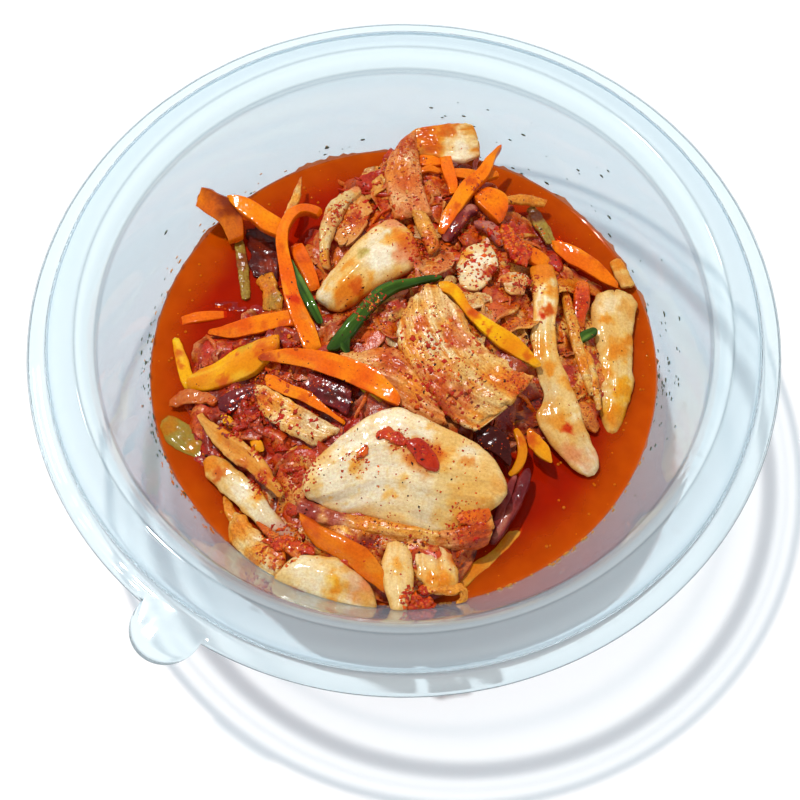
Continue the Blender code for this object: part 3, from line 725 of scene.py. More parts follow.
def build_drops():
    """Bubbles on the brine, and drops and specks splashed on the wall above it."""
    soup = Soup()
    for _ in range(150):
        turn = rng.uniform(0, math.tau)
        reach = BRINE_RADIUS - rng.uniform(0.8, 16) * rng.uniform(0.2, 1)
        size = rng.uniform(0.12, 0.4)
        points, faces = dome(size, 0.7)
        place = (reach * math.cos(turn), reach * math.sin(turn), LEVEL - 0.32)
        soup.add(points + place, faces, COLOUR["amber"])
    for centre, spread, count, highest, name in SPLASHES:
        for _ in range(count):
            turn = math.radians(centre + rng.normal(0, spread))
            z = LEVEL + 0.6 + highest * rng.uniform(0, 1) ** 1.6
            size = rng.uniform(0.12, 0.4)
            points, faces = dome(size * rng.uniform(1, 1.8), 0.4)
            lean = math.atan2(1, WALL_FLARE)
            points = points @ np.array(((math.cos(lean), 0, math.sin(lean)), (0, 1, 0),
                                        (-math.sin(lean), 0, math.cos(lean)))) * (-1, -1, 1)
            spin = np.array(((math.cos(turn), math.sin(turn), 0), (-math.sin(turn), math.cos(turn), 0), (0, 0, 1)))
            reach = inner_wall_radius(z) - 0.01
            soup.add(points @ spin + (reach * math.cos(turn), reach * math.sin(turn), z), faces, COLOUR[name])
    return soup

# ---------------------------------------------------------------- looks of each kind of vegetable
def blot(shade, grid, spot, seed=0):
    """Stain a field of colours round a place: spot is x, y, radius, colour name and strength."""
    x, y, radius, name, strength = spot
    flat = grid * (1, 1, 0)
    distance = np.hypot(grid[..., 0] - x, grid[..., 1] - y)
    distance = distance + radius * 0.8 * rough_noise(flat, max(radius * 0.7, 0.8), seed)
    distance = distance + 0.5 * noise(flat, 0.7, seed + 50)
    return dye(shade, COLOUR[name], strength * smoothstep(radius - distance, -0.5 * radius, 0.7 * radius))


def stem_look(slab, seed):
    """Thick white part of a cabbage leaf: smooth, faintly ribbed, soaked toward its edges."""
    places = slab.sheet()
    streaks = noise(places * (0.05, 1, 0), 0.9, seed) + 0.6 * noise(places * (0.08, 1, 0), 0.45, seed + 1)
    ribs = noise(places * (0.07, 1, 0), 2.2, seed + 8)
    slab.swell(0.09 * streaks + 0.24 * ribs + 0.35 * noise(slab.grid, 6, seed + 2) + 0.16 * noise(slab.grid, 1.8, seed + 3))
    shade = dye(COLOUR["ivory"], COLOUR["cream"], 0.5 + 0.6 * noise(places, 7, seed + 4) + 0.4 * streaks)
    shade = dye(shade, COLOUR["soaked"], 0.35 * smoothstep(streaks, 0.2, 1.0))
    # painted shade: the greyer pearl tone lies in the grooves between the ribs
    shade = dye(shade, COLOUR["pearl"], 0.7 * smoothstep(-ribs, 0.0, 0.6))
    shade = dye(shade, COLOUR["stain"], 0.5 * smoothstep(rough_noise(slab.grid, 1.6, seed + 10), 0.3, 0.6))
    shade = dye(shade, COLOUR["beige"], 0.5 * smoothstep(noise(slab.grid, 0.8, seed + 11), 0.2, 0.7))
    soak = rough_noise(places * (0.6, 1, 1), 6, seed + 6, 4)
    shade = dye(shade, COLOUR["soaked"], 0.75 * smoothstep(soak, -0.25, 0.45))
    edge = smoothstep(np.abs(slab.across) + 0.25 * noise(places, 2, seed + 5), 0.72, 1.05)
    shade = dye(shade, COLOUR["tan"], 0.6 * edge)
    ends = smoothstep(np.minimum(slab.along, slab.length - slab.along), 1.8, 0.0)
    shade = dye(shade, COLOUR["soaked"], 0.8 * ends)
    # rust-red soak and painted shade together: the lower faces near the sides darken
    shade = dye(shade, COLOUR["rust"], 0.8 * smoothstep(-slab.up, -0.35, 0.3) * (np.abs(slab.across) > 0.5))
    return dye(shade, COLOUR["stain"], 0.6 * smoothstep(soak + 0.3 * noise(places, 1.1, seed + 7), 0.42, 0.7))


def leaf_look(slab, seed):
    """Thin soaked leaf: creased and finely ribbed along its length, orange, tan and red."""
    places = slab.sheet()
    crease = 1 - 2 * np.abs(noise(places * (0.22, 1, 0), 2.6, seed))
    slab.bend(0.45 * rough_noise(slab.grid, 5, seed + 9) + 0.35 * crease)
    ribs = noise(places * (0.06, 1, 0), 0.75, seed + 1) + 0.7 * noise(places * (0.10, 1, 0), 0.36, seed + 2)
    slab.swell(0.16 * ribs + 0.16 * noise(slab.grid, 0.9, seed + 3))
    shade = dye(COLOUR["tan"], COLOUR["cream"], 0.3 + 0.8 * ribs + 0.25 * crease)
    shade = dye(shade, COLOUR["stain"], 0.5 * smoothstep(-ribs, 0.2, 0.9))
    soak = rough_noise(places, 5, seed + 4)
    shade = dye(shade, COLOUR["stain"], 0.4 * smoothstep(soak + 0.25 * ribs, 0.1, 0.5))
    shade = dye(shade, COLOUR["brick"], 0.6 * smoothstep(-soak + 0.3 * noise(slab.grid, 0.9, seed + 5), 0.35, 0.6))
    # painted shade: brown in the low folds of the creases
    return dye(shade, COLOUR["brown"], 0.35 * smoothstep(-crease, 0.2, 0.9))


def film_look(slab, seed):
    """Limp see-through scrap of onion or leaf, with bubbles under its skin."""
    places = slab.sheet()
    slab.bend(0.35 * rough_noise(slab.grid, 3, seed) + 0.12 * noise(slab.grid, 0.8, seed + 1))
    pearl = noise(slab.grid, 0.55, seed + 2)
    slab.swell(0.12 * pearl)
    shade = dye(COLOUR["tan"], COLOUR["beige"], 0.5 + 0.7 * noise(places * (0.15, 1, 0), 0.8, seed + 3))
    shade = dye(shade, COLOUR["pearl"], 0.6 * smoothstep(pearl, 0.2, 0.6))
    shade = dye(shade, COLOUR["stain"], 0.7 * smoothstep(rough_noise(places, 3.5, seed + 5), 0.0, 0.4))
    return dye(shade, COLOUR["rust"], 0.7 * smoothstep(rough_noise(places, 2.5, seed + 4), 0.2, 0.5))


def carrot_look(slab, seed):
    """Carrot cut in a square strip, flat faced, with painted shade and rust darkening the lower part of its side faces.
    """
    places = slab.sheet()
    slab.swell(0.05 * noise(places * (0.15, 1, 1), 0.8, seed) + 0.16 * noise(slab.grid, 4, seed + 1))
    shade = dye(COLOUR["carrot"], COLOUR["carrot_deep"], 0.35 + 0.7 * noise(places, 4, seed + 2))
    shade = dye(shade, COLOUR["carrot_light"], 0.6 * smoothstep(noise(places * (0.25, 1, 0), 1.4, seed + 5), 0.1, 0.7))
    # painted shade, partly a rust-red soak: the side faces darken toward their lower edge
    side = (np.abs(slab.across) > 0.9) * smoothstep(-slab.up, -0.9, 0.6)
    shade = dye(shade, COLOUR["rust"], 0.7 * side)
    return dye(shade, COLOUR["rust"], 0.7 * smoothstep(rough_noise(places, 2.4, seed + 3), 0.42, 0.62))


def pepper_look(slab, seed):
    places = slab.sheet()
    slab.swell(0.16 * noise(slab.grid, 3, seed) + 0.05 * noise(slab.grid, 0.8, seed + 3))
    shade = dye(COLOUR["yellow"], COLOUR["yellow_deep"], 0.35 + 0.9 * noise(places, 4, seed + 1))
    shade = dye(shade, COLOUR["yellow_pale"], 0.6 * smoothstep(noise(places * (0.2, 1, 0), 1.2, seed + 4), 0.2, 0.8))
    return dye(shade, COLOUR["rust"], 0.7 * smoothstep(rough_noise(places, 1.8, seed + 2), 0.45, 0.6))


def red_pepper_look(slab, seed):
    places = slab.sheet()
    slab.swell(0.2 * noise(slab.grid, 1.6, seed))
    shade = dye(COLOUR["carrot_deep"], COLOUR["red"], 0.5 + 0.9 * noise(places, 1.8, seed + 1))
    return dye(shade, COLOUR["stain"], 0.8 * smoothstep(np.abs(places[..., 0] - slab.length / 2), 3, 4.6))


def scallion_look(slab, seed):
    places = slab.sheet()
    streak = noise(places * (0.05, 1, 0), 0.5, seed)
    slab.swell(0.09 * streak)
    shade = dye(COLOUR["green_dark"], COLOUR["green"], 0.5 + 0.5 * streak + 0.3 * noise(places, 3, seed + 1))
    shade = dye(shade, COLOUR["green_pale"], 0.7 * smoothstep(streak + 0.3 * noise(places, 1.5, seed + 4), 0.35, 0.8))
    # painted shade: darker green toward both long edges, for the rounded sides turning away from the light
    return dye(shade, COLOUR["green_dark"], 0.7 * smoothstep(np.abs(slab.across), 0.6, 1))


def onion_look(slab, seed):
    places = slab.sheet()
    bars = noise(places * (0.5, 1, 1), 1.6, seed + 1)
    slab.swell(0.12 * noise(places * (0.15, 1, 1), 0.8, seed) + 0.10 * noise(slab.grid, 1, seed + 3))
    shade = dye(COLOUR["purple"], COLOUR["plum"], 0.4 + 0.9 * bars)
    return dye(shade, COLOUR["lilac"], 0.7 * smoothstep(bars, 0.3, 0.7) * (np.abs(slab.across) < 0.8))


def paste_look(slab, seed):
    """Chilli paste and soaked crumbs in a soft lump."""
    slab.swell(0.45 * rough_noise(slab.grid, 1.6, seed) + 0.15 * noise(slab.grid, 0.5, seed + 1))
    shade = dye(COLOUR["rust"], COLOUR["paste"], 0.5 + 0.9 * noise(slab.grid, 1.1, seed + 2))
    return dye(shade, COLOUR["stain"], 0.8 * smoothstep(rough_noise(slab.grid, 1.5, seed + 3), 0.2, 0.5))


# kind: (look, bevel, closing radius of the ends, thinning toward the edges, spacing of the mesh)
KINDS = {
    "stem": (stem_look, 0, 1.0, 0.35, 0.42),
    "rib": (stem_look, 0.7, 0.5, 0.35, 0.42),
    "leaf": (leaf_look, 0, 0.5, 0.2, 0.37),
    "film": (film_look, 0, 0.5, 0.2, 0.34),
    "carrot": (carrot_look, 0.22, 0.2, 0.0, 0.5),
    "yellow": (pepper_look, 0.35, 0.3, 0.1, 0.46),
    "red_pepper": (red_pepper_look, 0, 0.6, 0.1, 0.35),
    "scallion": (scallion_look, 0, 0.6, 0.0, 0.3),
    "onion": (onion_look, 0, 0.6, 0.1, 0.33),
    "paste": (paste_look, 0, 1.0, 0.5, 0.35),
}


# ---------------------------------------------------------------- cuts of vegetable
def slab_of(kind, thickness, edge_a, edge_b, camber=0.0, ragged=0.25, wash=None, blots=()):
    """A cut between two edges, each a row of x, y, z in millimetres on its top face."""
    return {"kind": kind, "thickness": thickness, "edges": (edge_a, edge_b), "camber": camber,
            "ragged": ragged, "wash": wash, "blots": blots}


def strip_of(kind, width, thickness, path, roll=0.0, **more):
    """A cut that follows a path of x, y, z and share of the full width."""
    return slab_of(kind, thickness, *strip_edges(path, width, roll), **more)


CUTS = {
    "cabbage_stem_front": slab_of(
        "stem", 3.2,
        ((-20, -30.5, 34), (-18.5, -27.5, 35.5), (-15.5, -24.5, 36.5), (-11.5, -21, 37.5), (-8, -18.5, 38.5),
         (-4, -16.5, 39), (0, -16.5, 39.3), (4, -18.5, 38.8), (8, -20.5, 38.4), (13, -22.5, 37.6),
         (17, -25.5, 36.6), (19.5, -29.5, 35.6), (20.5, -32, 34.8)),
        ((-20, -32, 33), (-18.5, -33.5, 32), (-15, -35, 31.6), (-10.5, -36, 31.4), (-4.5, -37.5, 31.6),
         (1, -39, 32), (7, -40, 32.3), (12, -39, 32.6), (15, -37.5, 33), (18, -35.5, 33.4), (20, -33.5, 34)),
        camber=1.6, ragged=0.3, wash=("ivory", 0.35),
        blots=((12, -38, 4.5, "stain", 0.9), (15, -38.5, 2.6, "rust", 0.8), (-9, -28, 1.8, "stain", 0.6),
               (-8, -26.5, 0.9, "rust", 0.6), (9, -23.5, 3.0, "soaked", 0.8), (8, -27, 2.2, "stain", 0.45),
               (-3, -33, 1.2, "stain", 0.6), (-16.5, -24.5, 2.4, "tan", 0.4), (12.5, -27.5, 1.3, "rust", 0.5),
               (-4, -26, 4, "pearl", 0.5), (6, -34, 4.5, "pearl", 0.6), (-12, -32.5, 3, "pearl", 0.5),
               (-14, -30, 3, "ivory", 0.7), (-5, -31, 3.4, "ivory", 0.5), (-2, -19, 3, "ivory", 0.9),
               (16, -29, 4.5, "soaked", 0.75), (10, -31, 5, "beige", 0.5), (14, -35, 3.5, "soaked", 0.6),
               (18.5, -31.5, 2.0, "tan", 0.6), (-1.5, -23.5, 1.8, "rust", 0.7), (3.6, -26, 3.2, "rust", 0.7),
               (-17.5, -31, 1.6, "soaked", 0.7))),
    "hero_rolled_edge": slab_of(
        "leaf", 2.0,
        ((-20.5, -32.5, 32), (-16, -34.5, 31.8), (-10.5, -36, 31.8), (-3.5, -37.5, 32), (3, -39, 32.2),
         (9, -39.5, 32.4), (14, -37.5, 33.2), (17.5, -36.5, 33)),
        ((-21.5, -35.5, 29.5), (-17, -37.5, 29), (-11.5, -39.5, 29), (-4.5, -41, 29), (2.5, -42, 29),
         (9.5, -43, 29), (14, -43, 29.5), (17, -42, 30)),
        camber=1.0, ragged=0.4, wash=("soaked", 0.35),
        blots=((10, -41, 3.2, "pink", 0.8), (14.5, -40.5, 3.0, "brick", 0.8), (14, -38.5, 2.4, "rust", 0.9),
               (-18.5, -35, 2.6, "plum", 0.9), (-14, -36.5, 2.2, "plum", 0.7), (-12, -38.5, 2, "lilac", 0.5),
               (-8, -38.5, 2.4, "stain", 0.7), (4, -42, 2, "cream", 0.6))),
    "cabbage_leaf_middle": slab_of(
        "leaf", 1.5,
        ((4.5, 11, 38.5), (7, 11.5, 38.6), (9, 9, 38.6), (12.5, 4.5, 38), (15, -1, 37.4), (19.5, -4.5, 36.8),
         (23.5, -7.5, 36.2), (27, -8.5, 35.6)),
        ((2, 9, 38), (0, 5.5, 38), (-1.5, 1.5, 37.6), (-1, -3.5, 37.2), (2, -8.5, 36.8), (5, -13, 36.4),
         (9.5, -17, 35.6), (14, -20, 34.8)),
        camber=0.8, ragged=1.5,
        # the pearl spots on this leaf are painted highlights: pale glints laid into its colour
        blots=((6, -12, 5, "brick", 0.4), (2, -3, 3, "stain", 0.4), (11, -13, 3.5, "brick", 0.35),
               (17, -14, 3, "pearl", 0.6), (6.5, -2, 2.2, "pearl", 0.7), (11, -9, 2.6, "pearl", 0.5),
               (13, 0, 3.0, "cream", 0.5), (17, -6, 2.4, "soaked", 0.6), (9, 2, 1.6, "stain", 0.6),
               (7, 6, 4.5, "cream", 0.6), (23, -9.5, 2.6, "rust", 0.6), (3.5, 2.5, 1.6, "rust", 0.7),
               (19, -8.5, 2.4, "stain", 0.6))),
    "cabbage_leaf_folded": slab_of(
        "leaf", 1.5,
        ((-13.5, -3, 36), (-9, -3, 36.8), (-4, -2.5, 37.4), (-1, -3, 37.6), (2, -7, 37.2), (5, -12, 36.8)),
        ((-10.5, -6.5, 36), (-6.5, -9, 36), (-3, -12.5, 36.2), (0, -15.5, 36.4), (5, -18, 36), (9.5, -19, 35.4)),
        camber=0.6, ragged=1.0, wash=("pink", 0.4),
        blots=((-8, -5.5, 3, "beige", 0.5), (-2, -6, 2.6, "brick", 0.7), (2, -11, 3, "stain", 0.7),
               (-4.5, -4, 2.0, "rust", 0.6))),
    "cabbage_stem_back": slab_of(
        "rib", 2.8,
        ((-18.5, 12, 32.5), (-16.5, 15.5, 33.5), (-14, 18.5, 34.4), (-11.5, 22, 35), (-8.5, 25.5, 35.4),
         (-5.5, 28, 35.4), (-2.5, 29.5, 35), (0, 28.5, 34.6)),
        ((-18, 11, 31.5), (-14.5, 8.5, 32.4), (-11, 9.5, 34), (-8, 11.5, 35), (-4, 14, 35.4), (0, 16, 35.4),
         (3, 18, 35), (4, 20.5, 34.6)),
        camber=1.4, ragged=0.35,
        blots=((-11, 12, 3.2, "stain", 0.9), (-10, 12.5, 1.6, "rust", 0.6), (-4.5, 19, 4, "ivory", 1.0),
               (-1, 24, 2.6, "stain", 0.8), (1.5, 20.5, 3, "pink", 0.8), (2, 23, 2, "rust", 0.8),
               (-8.5, 20, 1.2, "olive", 0.6), (-2, 28, 2, "pink", 0.7))),
    "cabbage_piece_top": slab_of(
        "leaf", 1.8,
        ((0.5, 51, 34), (3.5, 52.5, 34.8), (8, 53.2, 35.2), (12, 53.6, 35.2), (15.2, 53.2, 35)),
        ((2.5, 46.5, 33.2), (5.5, 46.2, 33.4), (9, 45, 33.4), (13, 44.6, 33), (17, 46.4, 32.8)),
        camber=0.4, ragged=0.5,
        blots=((5.5, 50, 4.2, "stain", 0.9), (4.5, 51.5, 1.6, "rust", 0.7), (6, 48, 2.2, "rust", 0.5),
               (12.5, 49, 3.2, "ivory", 0.9), (12, 46.5, 2.6, "ivory", 0.9), (15, 50, 1.8, "soaked", 0.6),
               (9.5, 51.8, 2.0, "rust", 0.6))),
    "cabbage_leaf_back": slab_of(
        "leaf", 1.8,
        ((1.5, 51.5, 34.2), (-0.5, 49.5, 34), (-2.5, 46.5, 33.8), (-4, 43, 33.6), (-4, 38.5, 33.8),
         (-3.4, 34.5, 34), (-2, 29.5, 34.8)),
        ((3, 51.5, 34.2), (3.2, 49, 34), (3.4, 46.5, 34), (3.4, 43, 34), (3.8, 39.5, 34.4), (4.6, 35, 34.8),
         (6, 30.5, 35)),
        camber=1.3, ragged=0.8, wash=("pink", 0.6),
        blots=((0, 48, 2.4, "brick", 0.7), (-2, 42, 2.4, "stain", 0.7), (1, 38, 2.2, "rust", 0.5),
               (1.5, 44.5, 1.6, "cream", 0.5), (-1, 33.5, 2.4, "cream", 0.4))),
    "soaked_strip_back": slab_of(
        "film", 1.6,
        ((-1, 36, 34.8), (1.5, 30.5, 35.4), (3.5, 25, 35.8), (5.5, 20, 36)),
        ((1.5, 36.5, 34.8), (4.2, 31.5, 35.4), (6.6, 26.5, 35.8), (7.6, 22, 36)),
        camber=0.5, wash=("tan", 0.5), blots=((5.5, 23, 2, "rust", 0.7),)),
    "cabbage_stem_long": slab_of(
        "rib", 2.4,
        ((26.4, 20, 31.6), (27, 15, 33.4), (27, 11, 33.8), (26.7, 6, 33.8), (26, 1.5, 33.6), (26.4, -3, 33), (27.2, -7, 32),
         (28.2, -11, 31), (26.8, -14.5, 30.4), (28.4, -18, 29.6), (31, -21.6, 28.4), (34, -24.6, 27.2),
         (37.6, -26.4, 26)),
        ((31.6, 20.5, 31.4), (32, 15.5, 33.2), (32, 11, 33.6), (31.5, 5, 33.6), (31.6, -1, 33), (33.4, -6.5, 32), (35.4, -11, 31),
         (36.6, -15, 30), (37.8, -18.5, 29), (39, -21.6, 27.8), (39.6, -24.6, 26.4)),
        camber=0.15, ragged=0.35,
        blots=((29, 18.5, 3.4, "stain", 0.95), (31, 12.5, 1.6, "stain", 0.8), (30, 8, 1.3, "rust", 0.9),
               (28.5, 6.5, 0.9, "paste", 0.8), (28, -13, 3.5, "tan", 0.6), (37.5, -17, 3.0, "tan", 0.7),
               (33.5, -8, 1.6, "stain", 0.5), (37, -22.5, 2.2, "pink", 0.5),
               (27.5, -1, 2.2, "stain", 0.5), (33, -17, 1.1, "paste", 0.95), (31.5, -16, 2, "stain", 0.5),
               (36, -20, 2.6, "pearl", 0.5), (33, -22, 2.4, "pink", 0.6), (38.5, -24.5, 2, "ivory", 0.6),
               (29, -10, 2.4, "pearl", 0.5))),
    "cabbage_stem_right": slab_of(
        "rib", 2.8,
        ((41, 16, 27.6), (39.6, 12.5, 27.8), (39.6, 6, 27.6), (40.6, 0, 27.2), (40.5, -8, 26.4),
         (41, -14, LEVEL), (42.3, -16.4, LEVEL - 0.8)),
        ((48.4, 15.5, 27.4), (49.2, 12.5, 27.4), (48.4, 6, 27.2), (48, 0, 26.8), (46.8, -8, 26.2),
         (44.8, -14, LEVEL), (43.2, -16.4, LEVEL - 0.8)),
        camber=0.25, ragged=0.9, wash=("soaked", 0.4),
        blots=((44.5, 2, 2.2, "stain", 0.7), (45.5, -7, 2.0, "yellow_deep", 0.7), (43.5, 12, 2.4, "ivory", 0.6),
               (47, 12, 1.8, "tan", 0.6), (41.5, -3, 1.8, "stain", 0.6), (44, -11, 2.4, "yellow_deep", 0.6),
               (47.5, 4, 1.4, "stain", 0.7), (42, 9, 1.2, "stain", 0.6), (43, -13, 2.2, "stain", 0.5))),
    "cabbage_piece_corner": strip_of(
        "rib", 3.0, 1.4, ((45.6, 24.5, 26.4, 0.8), (46.6, 21, 27.2, 1.1), (48, 17, 27.2, 1)), ragged=0.5,
        wash=("soaked", 0.8), blots=((46.6, 23, 1.8, "stain", 0.8), (47.4, 19, 1.6, "tan", 0.7))),
    "cabbage_stem_left": slab_of(
        "rib", 2.4,
        ((-40.5, -22.3, 27), (-39, -22, 27.8), (-36.5, -23.3, 28.4), (-33.6, -25.5, 29), (-30.5, -28, 29.2),
         (-28.4, -30.4, 29.4), (-26.6, -33.5, 29.2), (-23.5, -37, 28.8), (-20.5, -40.2, 28.2)),
        ((-40.5, -24.5, 26.6), (-40, -26.3, 26.8), (-37, -29.6, 27.2), (-33.5, -32.8, 27.6), (-30.5, -35.6, 27.8),
         (-27, -38.6, 27.8), (-22.5, -41, 27.6)),
        camber=0.2, ragged=0.7,
        blots=((-39.5, -24, 2.2, "stain", 0.8), (-37, -26, 1.3, "rust", 0.7), (-23, -39, 3.2, "lilac", 0.9),
               (-27, -35.5, 2.2, "pearl", 0.6), (-29, -31, 1.6, "stain", 0.8), (-33, -29.5, 2.6, "ivory", 0.9))),
    "cabbage_strip_left": slab_of(
        "leaf", 1.4,
        ((-42, -12.8, 28.8), (-39.5, -15.3, 29.8), (-35, -18.6, 31), (-31, -21.6, 31.8), (-28, -24.8, 32),
         (-25.5, -28.5, 31.6), (-23.6, -31.6, 30.8)),
        ((-41.5, -14, 28.2), (-39.5, -18, 28.8), (-37.3, -21.3, 29.4), (-34.3, -24.3, 30.4), (-30.5, -27, 30.8),
         (-27.5, -30, 30.6), (-24.8, -32.6, 30.2)),
        camber=0.3, ragged=0.8, wash=("tan", 0.6),
        blots=((-28.5, -28.5, 1.6, "rust", 0.8), (-33, -26, 1.4, "brick", 0.7), (-36, -18, 1.6, "stain", 0.7))),
    "cabbage_strip_beige": slab_of(
        "leaf", 1.2,
        ((-30.5, -8, 32), (-28.5, -8.6, 32.6), (-25.5, -10.6, 33), (-21.5, -12.8, 33.4), (-18.5, -14.8, 33.2),
         (-15, -17, 32.8), (-12.5, -18.6, 32.4)),
        ((-30, -12, 31), (-28, -15, 31.4), (-24.5, -18, 32), (-21, -20.4, 32.2), (-18, -21.6, 32.2),
         (-15.4, -20.8, 32.4)),
        camber=0.4, ragged=1.0, wash=("cream", 0.5),
        blots=((-27, -12.5, 2.2, "stain", 0.7), (-28.5, -11, 1.4, "rust", 0.7), (-18, -18, 2.6, "pearl", 0.7),
               (-22.5, -14.5, 1.6, "stain", 0.7), (-24, -15, 1.8, "cream", 0.7))),
    "cabbage_stem_corner": slab_of(
        "rib", 2.8,
        ((-24.5, -47.5, 29.8), (-23, -46, 30.8), (-21, -44.6, 31.6), (-18, -44.2, 32), (-13, -45.4, 32.2),
         (-10, -47.6, 32), (-6.8, -50, 31.4), (-5, -53, 30.4)),
        ((-25.5, -49, 28.6), (-23.5, -50.8, 29), (-21, -52.6, 29.4), (-16, -54.8, 29.6), (-11, -56, 29.8),
         (-8, -56.4, 29.8), (-5.5, -56, 29.6)),
        camber=1.0, ragged=0.7,
        blots=((-13, -51.5, 2.2, "stain", 0.8), (-13.5, -50, 1.2, "yellow_deep", 0.8), (-8, -51, 2.8, "pink", 0.7),
               (-6.4, -53, 2.2, "tan", 0.7), (-18, -49, 4, "ivory", 0.7), (-10, -50, 2.2, "pearl", 0.6),
               (-21.5, -53, 1.6, "brick", 0.7))),
    "cabbage_strip_front": slab_of(
        "rib", 1.8,
        ((-3.4, -41.5, 31.2), (-4.2, -46.5, 31.6), (-3.2, -52, 32), (-1.8, -56.4, 32)),
        ((0.6, -42, 31.2), (1.4, -46, 31.6), (1.4, -51, 32), (0.2, -56.2, 32)),
        camber=0.3, ragged=0.6, wash=("soaked", 0.45),
        blots=((-1.5, -47, 1.2, "stain", 0.5),)),
    "cabbage_piece_front": slab_of(
        "leaf", 1.6,
        ((2, -42.5, 30.4), (2, -46.5, 30.8), (2.5, -49, 30.8), (4.5, -51.4, 30.6)),
        ((9.5, -43, 30.4), (10.4, -47, 30.8), (10, -50.4, 30.8), (7.4, -51.8, 30.6)),
        camber=0.5, ragged=1.3, wash=("cream", 0.5),
        blots=((7.5, -50, 2.2, "stain", 0.8), (5, -48.5, 1.4, "stain", 0.6), (9.8, -45, 1.4, "rust", 0.6))),
    "curled_rim_front": strip_of(
        "film", 2.6, 1.0, ((3, -51.4, 31, 0.8), (6, -50.8, 31.4, 1), (9, -51.2, 31.4, 1), (11.2, -50.8, 31.2, 0.8),
                           (11.6, -53, 30.6, 0.6), (10, -54, 30.2, 0.4)), roll=25, wash=("stain", 0.5)),
    "pale_piece_left": slab_of(
        "leaf", 1.4, ((-33.5, -33.5, 26.2), (-31, -36, 27.6), (-28, -39, 28.6), (-25, -41.5, 29.2), (-22, -43.5, 29.4)),
        ((-35, -36.5, 25.4), (-34, -40, 26), (-31.5, -43.5, 26.8), (-28.5, -46.5, 27.6), (-25, -49, 28.2)),
        camber=0.5, ragged=1.8, wash=("cream", 0.45),
        blots=((-28, -42.5, 2.4, "stain", 0.8), (-33, -38, 2.6, "stain", 0.8), (-24.5, -44, 2.2, "rust", 0.8),
               (-30.5, -40.5, 1.6, "cream", 0.7), (-26.5, -46, 1.8, "ivory", 0.6))),
    "soaked_shred_left": strip_of(
        "film", 2.2, 1.2, ((-36, -30, 25.6, 0.5), (-34.4, -34, 26.4, 1), (-31, -38.5, 27.2, 1.1), (-28, -42, 28.6, 0.7)),
        wash=("stain", 0.6)),
    "soaked_shred_corner": strip_of(
        "film", 2.0, 1.2, ((-29, -36.5, 28.6, 0.4), (-25.5, -40, 30, 1), (-22, -43, 31, 1.1), (-19.5, -46, 31.6, 0.6)),
        wash=("rust", 0.5)),
    "sunk_strip_back_left": strip_of(
        "film", 2.4, 0.9, ((-36.6, 33, LEVEL + 0.2, 0.5), (-35.6, 28, LEVEL + 0.5, 0.9), (-34.6, 22, LEVEL + 0.5, 1),
                           (-33.6, 15, LEVEL + 0.2, 0.8)), ragged=0.6, wash=("olive", 0.85),
        blots=((-35, 24, 2, "brown", 0.5), (-36.4, 31, 2, "rust", 0.6))),
    "onion_sunk_back_left": slab_of(
        "onion", 0.8, ((-33.8, 33, LEVEL - 0.2), (-33.6, 27, LEVEL + 0.2), (-32.6, 20, LEVEL + 0.2)),
        ((-29.6, 32, LEVEL), (-27, 26, LEVEL + 0.6), (-27.4, 20.4, LEVEL + 0.4)), ragged=2.4,
        wash=("dark", 0.55), blots=((-31, 28, 2.4, "brown", 0.6), (-29, 23, 2, "brick", 0.7))),
    "folded_film_left": slab_of(
        "leaf", 0.8, ((-31.6, 20, LEVEL), (-30.4, 17, LEVEL + 0.3), (-29.6, 12, LEVEL + 0.3)),
        ((-28.6, 21.4, 26.6), (-26.4, 17, 27.2), (-25.8, 11, 27.2)), camber=0.2, ragged=2.0, wash=("amber", 0.45),
        blots=((-27.5, 14, 2, "olive", 0.6), (-30, 17, 1.8, "stain", 0.8), (-28.6, 20.4, 1.2, "yellow_deep", 0.6))),
    "onion_sunk_left": strip_of(
        "onion", 2.6, 1.2, ((-46, 12.4, LEVEL - 1, 0.4), (-40, 13.6, LEVEL - 0.5, 1), (-33, 13.2, LEVEL - 0.4, 1),
                            (-27, 11.4, LEVEL, 0.6)), wash=("blood", 0.6)),
    "pale_scrap_right": slab_of(
        "leaf", 0.9, ((20.5, 15.5, 34.6), (23, 16.5, 34.8), (25.6, 15.6, 34.4)),
        ((20, 12.5, 34.8), (22.6, 11.4, 35), (25.6, 11.8, 34.6)), camber=0.2, ragged=1.4, wash=("pearl", 0.6),
        blots=((24, 13, 1.6, "pink", 0.6), (21, 14.5, 1.2, "rust", 0.7))),
    "pale_patch_middle": slab_of(
        "rib", 1.4, ((11.5, 21, 34), (14, 23.5, 34.6), (18, 23.5, 34.4), (20, 20, 34.2)),
        ((10.5, 14, 35), (12.5, 12.5, 35.6), (16, 12.5, 35.4), (19, 15, 34.8)), camber=0.2, ragged=1.6,
        wash=("ivory", 0.5), blots=((15.5, 18.5, 1.8, "ivory", 1.0), (12.5, 20, 1.6, "stain", 0.7),
                                    (18, 16, 1.6, "brick", 0.8), (12.5, 16, 1.6, "cream", 0.7))),
    "onion_arc": slab_of(
        "film", 1.8,
        ((-9.5, 39, 32.4), (-13.5, 37, 33), (-16.5, 33.5, 33.2), (-18, 27.5, 33), (-18, 23, 32.6), (-17.4, 19, 32)),
        ((-9, 37, 32.6), (-11.5, 34.3, 33.2), (-13.3, 30.5, 33.4), (-14.8, 27, 33.2), (-15.8, 22.5, 32.8),
         (-15.3, 18.5, 32)),
        camber=0.3, ragged=0.6, wash=("pearl", 0.5),
        blots=((-10, 38, 1.4, "pink", 0.7), (-16, 30, 1.6, "pink", 0.5), (-16.5, 21, 1.6, "stain", 0.6))),
    "onion_inside": slab_of(
        "film", 0.8, ((-12.8, 35, 32), (-13.6, 30, 32.2), (-14.6, 24.5, 32)),
